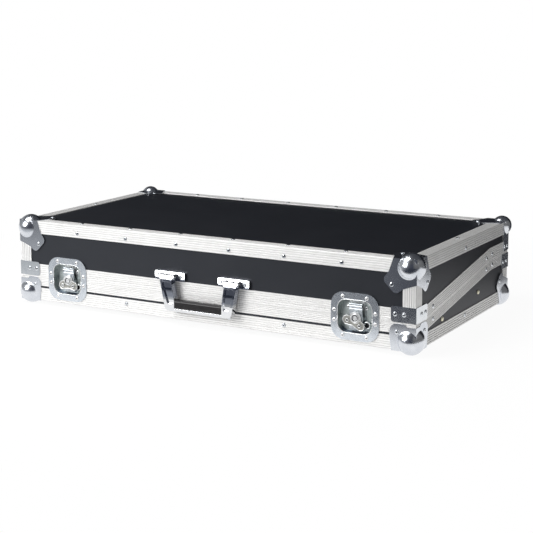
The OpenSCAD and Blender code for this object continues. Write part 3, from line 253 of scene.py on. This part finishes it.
def passivatedZinc():
    # the flange is bright, the pressed well is satin with a green cast and darker, partly as painted shade
    # of the recess, and the rivet heads are polished
    made = Finish("passivatedZinc", Metallic=passivated["metallic"])
    depth = made.along("y")
    inside = depth > case["front"] + passivated["wellFrom"]
    rivet = depth < case["front"] - passivated["rivetFrom"]
    clouds = made.noise(*passivated["clouds"])
    mixed = clouds * passivated["cloudShare"] + made.noise(*passivated["broad"]) * passivated["broadShare"]
    shade = made.rise(mixed, *passivated["shade"])
    flange = made.blend(shade, passivated["flange"], passivated["flangeDull"])
    # the well's darker colour is partly painted shade of the recess
    well = made.blend(shade, passivated["well"], passivated["wellDull"])
    # a dark tone on the lower wall of the well stands in for shade
    upward = made.rise(made.along("z", made.normal()), *passivated["level"])
    well = made.blend(upward * passivated["sillShare"], well, passivated["sill"])
    color = made.blend(rivet, made.blend(inside, flange, well), passivated["rivet"])
    more = passivated["wellRough"] - passivated["flangeRough"]
    rough = passivated["flangeRough"] + inside * more + clouds * passivated["cloudRough"]
    relief = made.bump(made.noise(*passivated["grain"]), *passivated["relief"])
    return made.finish(Base_Color=color, Roughness=rough, Normal=relief)


satin = {"satinWings": ((0.46, 0.455, 0.425), (0.33, 0.33, 0.305)),
         "satinWorks": ((0.88, 0.885, 0.88), (0.70, 0.715, 0.72)),
         "satinClaw": ((0.62, 0.66, 0.69), (0.42, 0.45, 0.48)),
         "yellowZinc": ((0.84, 0.81, 0.66), (0.66, 0.62, 0.46)),
         "polishedRivet": ((0.95, 0.95, 0.95), (0.86, 0.865, 0.87)),
         "metallic": 0.85, "clouds": (120, 5, 0.65), "shade": (0.35, 0.68), "roughness": 0.33,
         "cloudRough": 0.12, "grain": (500, 3), "relief": (0.00006, 0.3), "edge": 0.0007}
rolls = {"heights": (0.0910, 0.0848), "half": 0.0030, "rise": 0.0011}


def satinZinc(name, hooked=False):
    made = Finish(name, Metallic=satin["metallic"])
    clouds = made.noise(*satin["clouds"])
    color = made.blend(made.rise(clouds, *satin["shade"]), *satin[name])
    relief = made.bump(made.noise(*satin["grain"]), *satin["relief"], made.soft(satin["edge"]))
    if hooked:
        # the end of the claw is rolled twice across its face
        height = made.along("z")
        first, second = ((height - middle) / rolls["half"] for middle in rolls["heights"])
        rise = (1 - first * first).most(0.0) + (1 - second * second).most(0.0)
        relief = made.bump(rise * rolls["rise"], 1.0, 1.0, relief)
    rough = satin["roughness"] + clouds * satin["cloudRough"]
    return made.finish(Base_Color=color, Roughness=rough, Normal=relief)


chrome = {"pale": (0.86, 0.865, 0.875), "dull": (0.74, 0.755, 0.78), "clouds": (70, 3),
          "arms": (0.22, 0.25, 0.34), "armsShare": 0.6, "armsFrom": 0.062, "armsTo": 0.112,
          "armsBand": (0, 0.12, 0.86, 0.95), "crown": 0.17, "crownAt": 0.066,
          "roughness": 0.05, "scratches": (300, 5, 0.7), "scratched": (0.5, 0.8), "scratchRough": 0.1,
          "grain": (90, 2), "relief": (0.0003, 0.25), "edge": 0.0012}


def chromeCast():
    made = Finish("chromeCast", Metallic=1.0)
    color = made.blend(made.noise(*chrome["clouds"]), chrome["pale"], chrome["dull"])
    # a darker blue on the upper arms of the bail stands in for what they reflect
    height = made.along("z")
    share = (height - chrome["armsFrom"]) / (chrome["armsTo"] - chrome["armsFrom"])
    color = made.blend(made.band(share, *chrome["armsBand"]) * chrome["armsShare"], color, chrome["arms"])
    scratched = made.rise(made.noise(*chrome["scratches"]), *chrome["scratched"])
    # the arms are cast with a slight crown along their height
    above = height - chrome["crownAt"]
    crown = made.bump(above * above * (-0.5 / chrome["crown"]), 1.0, 1.0, made.soft(chrome["edge"]))
    relief = made.bump(made.noise(*chrome["grain"]), *chrome["relief"], crown)
    rough = chrome["roughness"] + scratched * chrome["scratchRough"]
    return made.finish(Base_Color=color, Roughness=rough, Normal=relief)


rubber = {"dark": (0.018, 0.017, 0.018), "worn": (0.034, 0.033, 0.034), "specular": 0.16,
          "lines": (1.0, 2), "stretch": (30, 2200, 2200), "grain": (1500, 3),
          # the ridge colour is a painted highlight on the ribs' upward flanks
          "ridgeHighlight": (0.12, 0.118, 0.12), "ridgeHighlightBand": (0.0, 0.1, 0.36, 0.5), "ridgeHighlightShare": 0.9,
          "roughness": 0.42, "grainRough": 0.16, "relief": (0.00008, 0.4), "edge": 0.0004}


def ribbedRubber():
    made = Finish("ribbedRubber", Metallic=0.0, Specular_IOR_Level=rubber["specular"])
    grain = made.noise(*rubber["grain"])
    lines = made.noise(*rubber["lines"], place=made.stretch(*rubber["stretch"]))
    color = made.blend(lines, rubber["dark"], rubber["worn"])
    # the upward flanks of the ribs are paler: a painted highlight where light catches them
    paintedHighlight = made.band(made.along("z", made.normal()), *rubber["ridgeHighlightBand"])
    color = made.blend(paintedHighlight * rubber["ridgeHighlightShare"], color, rubber["ridgeHighlight"])
    relief = made.bump(grain, *rubber["relief"], made.soft(rubber["edge"]))
    rough = rubber["roughness"] + grain * rubber["grainRough"]
    return made.finish(Base_Color=color, Roughness=rough, Normal=relief)


foam = {"dark": (0.012, 0.012, 0.013), "pale": (0.048, 0.048, 0.051), "cells": 900.0, "fine": (2200, 3),
        "fineShare": 0.3, "shade": (0.15, 0.7), "roughness": 0.9, "fineRough": 0.08,
        "relief": (0.0006, 0.8)}


def openFoam():
    made = Finish("openFoam", Metallic=0.0)
    cells = made.node("TexVoronoi", {"feature": "F1"}, {"Vector": made.place, "Scale": foam["cells"]})
    fine = made.noise(*foam["fine"])
    shade = made.rise(cells + fine * foam["fineShare"], *foam["shade"])
    color = made.blend(shade, foam["dark"], foam["pale"])
    rough = foam["roughness"] + fine * foam["fineRough"]
    return made.finish(Base_Color=color, Roughness=rough, Normal=made.bump(cells, *foam["relief"]))


steelAndShade = {"dark": (0.018, 0.018, 0.022), "pale": (0.06, 0.06, 0.066), "metallic": 0.5, "clouds": (900, 3),
         "roughness": 0.5, "cloudRough": 0.2}


# near black: the steel of the mandrels, and painted shade in holes, hollows and grooves
def darkSteelAndShade():
    made = Finish("darkSteelAndShade", Metallic=steelAndShade["metallic"])
    clouds = made.noise(*steelAndShade["clouds"])
    color = made.blend(clouds, steelAndShade["dark"], steelAndShade["pale"])
    return made.finish(Base_Color=color, Roughness=steelAndShade["roughness"] + clouds * steelAndShade["cloudRough"])


materials = {
    "alongX": extrudedAluminium("aluminiumAlongX", "x"),
    "alongY": extrudedAluminium("aluminiumAlongY", "y"),
    "alongZ": extrudedAluminium("aluminiumAlongZ", "z"),
    "laminate": blackLaminate(),
    "ball": brightPlate(),
    "zinc": zincPlate("zincPlate", zinc["roughness"]),
    "dish": passivatedZinc(),
    "wings": satinZinc("satinWings"),
    "works": satinZinc("satinWorks"),
    "claw": satinZinc("satinClaw", hooked=True),
    "rivet": zincPlate("rivetSteel", zinc["rivetRoughness"]),
    "bolts": satinZinc("yellowZinc"),
    "polished": satinZinc("polishedRivet"),
    "chrome": chromeCast(),
    "rubber": ribbedRubber(),
    "foam": openFoam(),
    "dark": darkSteelAndShade(),
}
print("finishes made:", len(materials))


def finishOf(name):
    if "panel" in name: return "laminate"
    if "rivets" in name or name == "handle_screws": return "rivet"
    if "ball_corners" in name: return "ball"
    if name in ("handle_bail", "handle_plates"): return "chrome"
    if name == "handle_grip": return "rubber"
    if name == "rail_bolts": return "bolts"
    if "foam" in name: return "foam"
    if "posts" in name: return "alongZ"
    if "edge" in name or "closing" in name:
        return "alongX" if name.endswith(("front", "back")) else "alongY"
    if "dish" in name: return "dish"
    if "butterfly" in name: return "wings"
    if "claw" in name or "bridge" in name: return "claw"
    if "spindle" in name or name == "keepers": return "works"
    return "zinc"


for name, shape in nodes.items():
    shape.data.materials.clear()
    shape.data.materials.append(materials[finishOf(name)])


def placed(name, mesh, *finishes, smooth=False):
    # a finished mesh as an object of the scene
    data = bpy.data.meshes.new(name)
    mesh.to_mesh(data)
    mesh.free()
    for face in data.polygons:
        face.use_smooth = smooth
    for finish in finishes:
        data.materials.append(finish)
    made = bpy.data.objects.new(name, data)
    bpy.context.scene.collection.objects.link(made)
    return made


def piece(name, mesh, body, *finishes, smooth=True):
    made = placed(name, mesh, *(materials[finish] for finish in finishes), smooth=smooth)
    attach(made, body)
    return made


def merged(node):
    # a copy of a node's mesh with its loose triangles joined
    mesh = bmesh.new()
    mesh.from_mesh(nodes[node].data)
    bmesh.ops.remove_doubles(mesh, verts=mesh.verts, dist=1e-6)
    return mesh


def islands(mesh):
    # the lowest and highest corners of each loose solid
    seen = set()
    for start in mesh.verts:
        if start in seen:
            continue
        seen.add(start)
        found = [start]
        for vert in found:
            for edge in vert.link_edges:
                other = edge.other_vert(vert)
                if other not in seen:
                    seen.add(other)
                    found.append(other)
        yield [Vector([pick(v.co[k] for v in found) for k in range(3)]) for pick in (min, max)]


def rounded(mesh, edges, width, steps, material=-1):
    bmesh.ops.bevel(mesh, geom=edges, offset=width, segments=steps, profile=0.5, affect="EDGES",
                    material=material)


def unique(things):
    return list(dict.fromkeys(things))


rivets = {"radius": 0.0017, "stub": 0.0005, "taper": 0.8, "steps": 10}


def darkDisc(mesh, place, outward, radius):
    # a dark disc facing outward: the end of a mandrel in the middle of a rivet head, partly its steel and
    # partly painted shade in the hollow; in a hole it is painted shade
    pose = Matrix.Translation(place) @ Vector(outward).to_track_quat("Z", "Y").to_matrix().to_4x4()
    bmesh.ops.create_cone(mesh, cap_ends=True, segments=rivets["steps"], radius1=radius,
                          radius2=radius * rivets["taper"], depth=rivets["stub"], matrix=pose)


# dark discs on the rivet heads: the mandrels' steel and painted shade in their hollows
def mandrels(name, node, body):
    solids, mesh = merged(node), bmesh.new()
    middle = Vector((0, case["middle"], case["floor"] + case["height"] / 2))
    for low, high in islands(solids):
        size, place = high - low, (low + high) / 2
        axis = min(range(3), key=lambda k: size[k])
        outward = Vector((0, 0, 0))
        outward[axis] = 1 if place[axis] > middle[axis] else -1
        darkDisc(mesh, place + outward * (size[axis] / 2), outward, rivets["radius"])
    solids.free()
    piece(name, mesh, body, "dark", smooth=False)


mandrels("baseEdgeMandrels", "base_edge_rivets", "base")
mandrels("baseCornerMandrels", "base_corner_rivets", "base")
mandrels("lidEdgeMandrels", "lid_edge_rivets", "lid")
mandrels("lidCornerMandrels", "lid_corner_rivets", "lid")
print("mandrels made")

# the middle of each latch, the front of its flange and the floor of its well, how far its spindle
# lies under the middle, and by how many degrees its butterfly is turned at rest
latch = {"x": 0.379, "z": 0.0705, "plate": 0.0015, "depth": 0.013, "drop": 0.003,
         "turn": {"Left": 0, "Right": 20}}


def inLatch(side, x, out, z):
    # x to the right, out from the front face, z from the parting line
    return Vector((side * latch["x"] + x, case["front"] - out, latch["z"] + z))


rings = {"steps": 28, "roundSteps": 8}


def ring(mesh, middle, radius, thick, steps=rings["steps"]):
    # a round ring that faces the front
    around = rings["roundSteps"]
    made = bmesh.ops.create_circle(mesh, segments=around, radius=thick, cap_ends=False)["verts"]
    bmesh.ops.translate(mesh, vec=(radius, 0, 0), verts=made)
    edges = unique(e for v in made for e in v.link_edges)
    before = set(mesh.verts) - set(made)
    bmesh.ops.spin(mesh, geom=made + edges, cent=(0, 0, 0), axis=(0, 1, 0), angle=math.tau, steps=steps,
                   use_merge=True)
    spun = [v for v in mesh.verts if v not in before]
    bmesh.ops.translate(mesh, vec=middle, verts=spun)
    bmesh.ops.recalc_face_normals(mesh, faces=unique(f for v in spun for f in v.link_faces))


lip = {"mouth": (0.080, 0.071), "corner": 0.020, "cornerSteps": 8, "wide": 0.0015, "inset": 0.00165,
       "out": 0.0006, "round": 0.00063, "roundSteps": 3, "gap": 0.0003}


def dishLip(name, side, half, body):
    # the rolled edge between the flange and the well, cut at the parting line
    wide = lip["wide"]
    mesh = bmesh.new()
    bmesh.ops.create_grid(mesh, x_segments=1, y_segments=1, size=0.5)
    bmesh.ops.scale(mesh, vec=(*(length + 2 * wide for length in lip["mouth"]), 1), verts=mesh.verts)
    bmesh.ops.bevel(mesh, geom=mesh.verts[:], offset=lip["corner"] + wide, segments=lip["cornerSteps"],
                    profile=0.5, affect="VERTICES", material=-1)
    well = mesh.faces[:]
    bmesh.ops.inset_region(mesh, faces=well, thickness=lip["inset"], use_even_offset=True,
                           use_boundary=True)
    bmesh.ops.delete(mesh, geom=well, context="FACES")
    extruded = bmesh.ops.extrude_face_region(mesh, geom=mesh.faces[:])["geom"]
    raised = [part for part in extruded if isinstance(part, bmesh.types.BMVert)]
    bmesh.ops.translate(mesh, vec=(0, 0, wide), verts=raised)
    bmesh.ops.recalc_face_normals(mesh, faces=mesh.faces)
    rims = [e for e in mesh.edges if all(v.co.z > wide / 2 for v in e.verts)
            and len({round(f.normal.z, 2) for f in e.link_faces}) > 1]
    rounded(mesh, rims, lip["round"], lip["roundSteps"])
    spot = inLatch(side, 0, latch["plate"] + lip["out"] - wide, 0)
    pose = Matrix.Translation(spot) @ Matrix.Rotation(math.radians(90), 4, "X")
    bmesh.ops.transform(mesh, matrix=pose, verts=mesh.verts)
    cut = latch["z"] + half * lip["gap"]
    bmesh.ops.bisect_plane(mesh, geom=mesh.verts[:] + mesh.edges[:] + mesh.faces[:], dist=1e-6,
                           plane_co=(0, 0, cut), plane_no=(0, 0, half), clear_inner=True)
    bmesh.ops.holes_fill(mesh, edges=[e for e in mesh.edges if e.is_boundary])
    made = piece(name, mesh, body, "works")


# the heads' places across the latch and away from the parting line
heads = {"flange": ((0.028, 0.042), (0.048, 0.011)), "keeper": (0.021, 0.018),
         "radius": 0.0044, "up": 0.0021, "around": 18, "upwards": 10}


def rivetHead(mesh, place):
    # a domed head that faces the front
    made = bmesh.ops.create_uvsphere(mesh, u_segments=heads["around"], v_segments=heads["upwards"],
                                     radius=heads["radius"])["verts"]
    bmesh.ops.scale(mesh, vec=(1, 1, heads["up"] / heads["radius"]), verts=made)
    bmesh.ops.rotate(mesh, cent=(0, 0, 0), matrix=Matrix.Rotation(math.radians(90), 3, "X"), verts=made)
    bmesh.ops.translate(mesh, vec=place, verts=made)


def latchRivets(name, side, half, body):
    spots = [inLatch(side, x * across, latch["plate"], half * away)
             for x in (-1, 1) for across, away in heads["flange"]]
    if half > 0:
        across, away = heads["keeper"]
        spots += [inLatch(side, x * across, -latch["depth"], away) for x in (-1, 1)]
    domes, ends = bmesh.new(), bmesh.new()
    for spot in spots:
        rivetHead(domes, spot)
        # a dark disc on each head: the mandrel's steel and painted shade in its hollow
        darkDisc(ends, spot + Vector((0, -heads["up"], 0)), (0, -1, 0), rivets["radius"])
    piece(name + "Heads", domes, body, "polished")
    piece(name + "Mandrels", ends, body, "dark", smooth=False)


eyelet = {"x": 0.024, "z": -0.018, "radius": 0.0069, "thick": 0.0018, "up": 0.0042,
          "hole": 0.0052, "holeUp": 0.0006}


def eyeletLip(name, side):
    mesh = bmesh.new()
    spot = inLatch(side, eyelet["x"], eyelet["up"] - latch["depth"], eyelet["z"])
    ring(mesh, spot, eyelet["radius"], eyelet["thick"])
    piece(name, mesh, "base", "works")
    # a dark disc in the hole is painted shade
    mesh = bmesh.new()
    spot = inLatch(side, eyelet["x"], eyelet["holeUp"] - latch["depth"], eyelet["z"])
    darkDisc(mesh, spot, (0, -1, 0), eyelet["hole"])
    piece(name + "Hole", mesh, "base", "dark", smooth=False)


boss = {"out": 0.0006, "ring": (0.0080, 0.0010), "groove": (0.0064, 0.0010)}


def spindleRings(name, side, body):
    # a pressed ring round the boss, and a dark ring of painted shade in the groove round its screw head
    middle = inLatch(side, 0, boss["out"], -latch["drop"])
    mesh = bmesh.new()
    ring(mesh, middle, *boss["ring"])
    piece(name, mesh, body, "works")
    mesh = bmesh.new()
    ring(mesh, middle, *boss["groove"])
    piece(name + "Groove", mesh, body, "dark")


butterfly = {"waistHalf": 0.004, "waistFrom": -0.0131, "waistWide": 1.1, "waistDown": 0.0032,
             "flat": 0.02, "rim": 0.0016, "sunk": 0.0007, "round": 0.0007, "roundSteps": 3,
             "eyeAcross": 0.015, "eyeDown": 0.012, "eyeOut": 0.00055, "eye": (0.0032, 0.0010),
             "eyeSteps": 18, "hole": 0.0024, "holeSunk": 0.0009}


def wings(name, side, word):
    # the butterfly's plate with a rolled rim and a sunk field, and an eyelet round each hole; the rim's
    # paler finish is a painted highlight
    node = body = "butterfly_" + word.lower()
    mesh = merged(node)
    bmesh.ops.recalc_face_normals(mesh, faces=mesh.faces)
    bmesh.ops.dissolve_limit(mesh, angle_limit=butterfly["flat"], verts=mesh.verts, edges=mesh.edges)
    pivot = inLatch(side, 0, 0, -latch["drop"])
    lean = Matrix.Rotation(math.radians(latch["turn"][word]), 3, "Y")
    # the waist is wider and lower than the solid's
    for vert in mesh.verts:
        local = lean.transposed() @ (vert.co - pivot)
        if abs(local.x) < butterfly["waistHalf"] and local.z < butterfly["waistFrom"]:
            vert.co += lean @ Vector((local.x * butterfly["waistWide"], 0, -butterfly["waistDown"]))
    front = [f for f in mesh.faces if f.normal.y < -0.99]
    rim = bmesh.ops.inset_region(mesh, faces=front, thickness=butterfly["rim"], depth=-butterfly["sunk"],
                                 use_even_offset=True, use_boundary=True)["faces"]
    # the rim's faces and rounded edges take the paler works finish: a painted highlight
    for face in rim:
        face.material_index = 1
    # the rim's outer edges, between it and the upright sides
    outer = [e for e in mesh.edges if len(e.link_faces) == 2
             and sum(f.material_index for f in e.link_faces) == 1
             and min(abs(f.normal.y) for f in e.link_faces) < 0.2]
    rounded(mesh, outer, butterfly["round"], butterfly["roundSteps"], material=1)
    eyes, holes = bmesh.new(), bmesh.new()
    for across in (-butterfly["eyeAcross"], butterfly["eyeAcross"]):
        spot = pivot + lean @ Vector((across, -butterfly["eyeOut"], -butterfly["eyeDown"]))
        ring(eyes, spot, *butterfly["eye"], steps=butterfly["eyeSteps"])
        # a dark disc in each hole is painted shade
        darkDisc(holes, spot + Vector((0, butterfly["holeSunk"], 0)), (0, -1, 0), butterfly["hole"])
    piece(name + "Eyes", eyes, body, "works")
    piece(name + "Holes", holes, body, "dark", smooth=False)
    made = piece(name, mesh, body, "wings", "works", smooth=False)
    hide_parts(node)


for side, word in ((-1, "Left"), (1, "Right")):
    dishLip("keeperLip" + word, side, 1, "lid")
    dishLip("latchLip" + word, side, -1, "base")
    latchRivets("keeperRivets" + word, side, 1, "lid")
    latchRivets("latchRivets" + word, side, -1, "base")
    eyeletLip("eyelet" + word, side)
    spindleRings("bossRing" + word, side, "spindle_" + word.lower())
    wings("wings" + word, side, word)
print("latches made")

seats = {"out": 0.0002, "thick": 0.0009, "spare": 0.0004}


def screwSeats(name, node, body):
    # a dark ring of painted shade between each screw head and its plate
    screws, mesh = merged(node), bmesh.new()
    for low, high in islands(screws):
        middle = (low + high) / 2
        middle.y = high.y - seats["out"]
        ring(mesh, middle, (high.x - low.x) / 2 + seats["spare"], seats["thick"])
    screws.free()
    piece(name, mesh, body, "dark")


screwSeats("handleScrewSeats", "handle_screws", "lid")
print("screw seats made")

lining = {"corner": 0.006, "cornerSteps": 4, "edge": 0.0035, "edgeSteps": 3}


def foamSheet(name, node, body, up):
    # a sheet with soft corners, and a softer edge on the side that shows
    low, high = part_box(node)
    mesh = bmesh.new()
    bmesh.ops.create_cube(mesh, size=1.0)
    bmesh.ops.scale(mesh, vec=high - low, verts=mesh.verts)
    bmesh.ops.translate(mesh, vec=(low + high) / 2, verts=mesh.verts)
    upright = [e for e in mesh.edges if abs(e.verts[0].co.z - e.verts[1].co.z) > 0.001]
    rounded(mesh, upright, lining["corner"], lining["cornerSteps"])
    rim = unique(e for f in mesh.faces if f.normal.z * up > 0.9 for e in f.edges)
    rounded(mesh, rim, lining["edge"], lining["edgeSteps"])
    made = piece(name, mesh, body, "foam")
    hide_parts(node)


foamSheet("baseFoamSheet", "base_foam", "base", 1)
foamSheet("lidFoamSheet", "lid_foam", "lid", -1)
print("foam made")

# lengths in metres, angles in degrees, the focal length and the rise in pixels of the image
camera = {"place": (1.5828, -2.7532, 0.7560), "azimuth": 29.688, "elevation": 8.0, "roll": -0.217,
          "focal": 1343.2, "rise": -90, "image": 533, "sensor": 36, "near": 0.1, "far": 50}

azimuth, elevation, roll = (math.radians(camera[key]) for key in ("azimuth", "elevation", "roll"))
backward = Vector((math.sin(azimuth) * math.cos(elevation), -math.cos(azimuth) * math.cos(elevation),
                   math.sin(elevation)))
right = Vector((math.cos(azimuth), math.sin(azimuth), 0))
up = backward.cross(right)
turned = Matrix((math.cos(roll) * right + math.sin(roll) * up,
                 -math.sin(roll) * right + math.cos(roll) * up, backward))
lens = bpy.data.cameras.new("camera")
lens.sensor_width = camera["sensor"]
lens.lens = camera["focal"] * camera["sensor"] / camera["image"]
lens.shift_y = camera["rise"] / camera["image"]
lens.clip_start, lens.clip_end = camera["near"], camera["far"]
eye = bpy.data.objects.new("camera", lens)
eye.matrix_world = Matrix.Translation(camera["place"]) @ turned.transposed().to_4x4()
bpy.context.scene.collection.objects.link(eye)
bpy.context.scene.camera = eye

lamps = {
    "keyLamp": {"place": (-2.0, -3.3, 1.7), "watts": 120, "size": 1.9},
    "topLamp": {"place": (-0.9, -0.9, 2.5), "watts": 50, "size": 1.5},
    "sideLamp": {"place": (2.5, -0.8, 2.3), "watts": 16, "size": 1.0},
}
lampAim = (0, 0, 0.1)


def softLamp(name, place, watts, size):
    data = bpy.data.lights.new(name, "AREA")
    data.shape = "SQUARE"
    data.size = size
    data.energy = watts
    lamp = bpy.data.objects.new(name, data)
    lamp.location = place
    lamp.rotation_euler = (Vector(place) - Vector(lampAim)).to_track_quat("Z", "Y").to_euler()
    bpy.context.scene.collection.objects.link(lamp)


for name, lamp in lamps.items():
    softLamp(name, **lamp)

# cards that only reflections see, as a studio stands them round bright metal
cards = {
    "frontSheet": {"dark": (0.035, 0.04, 0.055), "pale": (0.80, 0.82, 0.84), "acrossX": (0.3, -0.45),
                   "acrossY": (-1.25, -0.35), "middle": (0, -2.55, 0.001), "size": (9, 4.2)},
    "rightSheet": {"dark": (0.05, 0.052, 0.06), "middle": (2.05, 1.95, 0.001), "size": (2.9, 3.0)},
    "frontCard": {"dark": (0.05, 0.055, 0.075), "pale": (0.30, 0.31, 0.33), "acrossX": (-1.5, -5.0),
                  "middle": (0, -4.6, 1.6), "size": (10, 3.2), "lean": 90},
    "leftCard": {"dark": (0.30, 0.31, 0.32), "middle": (-4.6, 0, 1.6), "size": (10, 3.2),
                 "lean": 90, "turn": 90},
    "rightCard": {"dark": (0.16, 0.16, 0.16), "middle": (3.8, 0, 1.6), "size": (10, 3.2),
                  "lean": 90, "turn": 90},
    "backCard": {"dark": (0.010, 0.011, 0.015), "middle": (0, 3.8, 1.6), "size": (10, 3.2), "lean": 90},
    "roofCard": {"dark": (0.055, 0.058, 0.066), "middle": (0, 0, 3.2), "size": (10, 10)},
}


def reflectionCard(name, dark, middle, size, lean=0, turn=0, pale=None, acrossX=None, acrossY=None):
    shade = Finish(name + "Shade")
    grey = dark
    if pale:
        # from dark to pale between these places
        share = 1.0
        for axis, ends in (("x", acrossX), ("y", acrossY)):
            if ends:
                reach = {"Value": shade.along(axis), "From Min": ends[0], "From Max": ends[1]}
                share = shade.node("MapRange", None, reach) * share
        grey = shade.blend(share, dark, pale)
    shade.show(shade.node("Emission", None, {"Color": grey, "Strength": 1.0}))
    mesh = bmesh.new()
    bmesh.ops.create_grid(mesh, x_segments=1, y_segments=1, size=0.5)
    bmesh.ops.scale(mesh, vec=(*size, 1), verts=mesh.verts)
    pose = Matrix.Rotation(math.radians(turn), 4, "Z") @ Matrix.Rotation(math.radians(lean), 4, "X")
    bmesh.ops.transform(mesh, matrix=Matrix.Translation(middle) @ pose, verts=mesh.verts)
    card = placed(name, mesh, shade.material)
    card.visible_camera = card.visible_diffuse = card.visible_shadow = card.visible_transmission = False


for name, card in cards.items():
    reflectionCard(name, **card)

# the object sees a dim room, and every open ray sees white
room = {"glow": 0.22, "floor": (0.9, 0.9, 0.9), "roughness": 0.8, "half": 12,
        "near": 0.5, "far": 1.2, "nearWhite": 0.93}

world = bpy.data.worlds.new("studio")
bpy.context.scene.world = world
sky = Nodes(world)
strength = sky.node("MapRange", None, {"Value": sky.openRays(), "To Min": room["glow"], "To Max": 1.0})
sky.put(sky.tree.nodes["Background"], {"Color": (1, 1, 1), "Strength": strength})

ground = Finish("paleFloor", Roughness=room["roughness"], Metallic=0.0)
white = ground.node("Emission", None, {"Color": (1, 1, 1), "Strength": 1.0})
plain = ground.node("BsdfDiffuse", None, {"Color": room["floor"]})
distance = ground.node("VectorMath", {"operation": "LENGTH"}, {0: ground.place}, output="Value")
fade = ground.node("MapRange", None, {"Value": distance, "From Min": room["near"], "From Max": room["far"],
                                      "To Min": room["nearWhite"], "To Max": 1.0})
ground.show(ground.node("MixShader", None, {0: ground.openRays() * fade, 1: plain, 2: white}))
mesh = bmesh.new()
bmesh.ops.create_grid(mesh, x_segments=1, y_segments=1, size=room["half"])
floor = placed("floor", mesh, ground.material)

bpy.context.scene.view_settings.view_transform = "Standard"
print("camera, light and floor made")
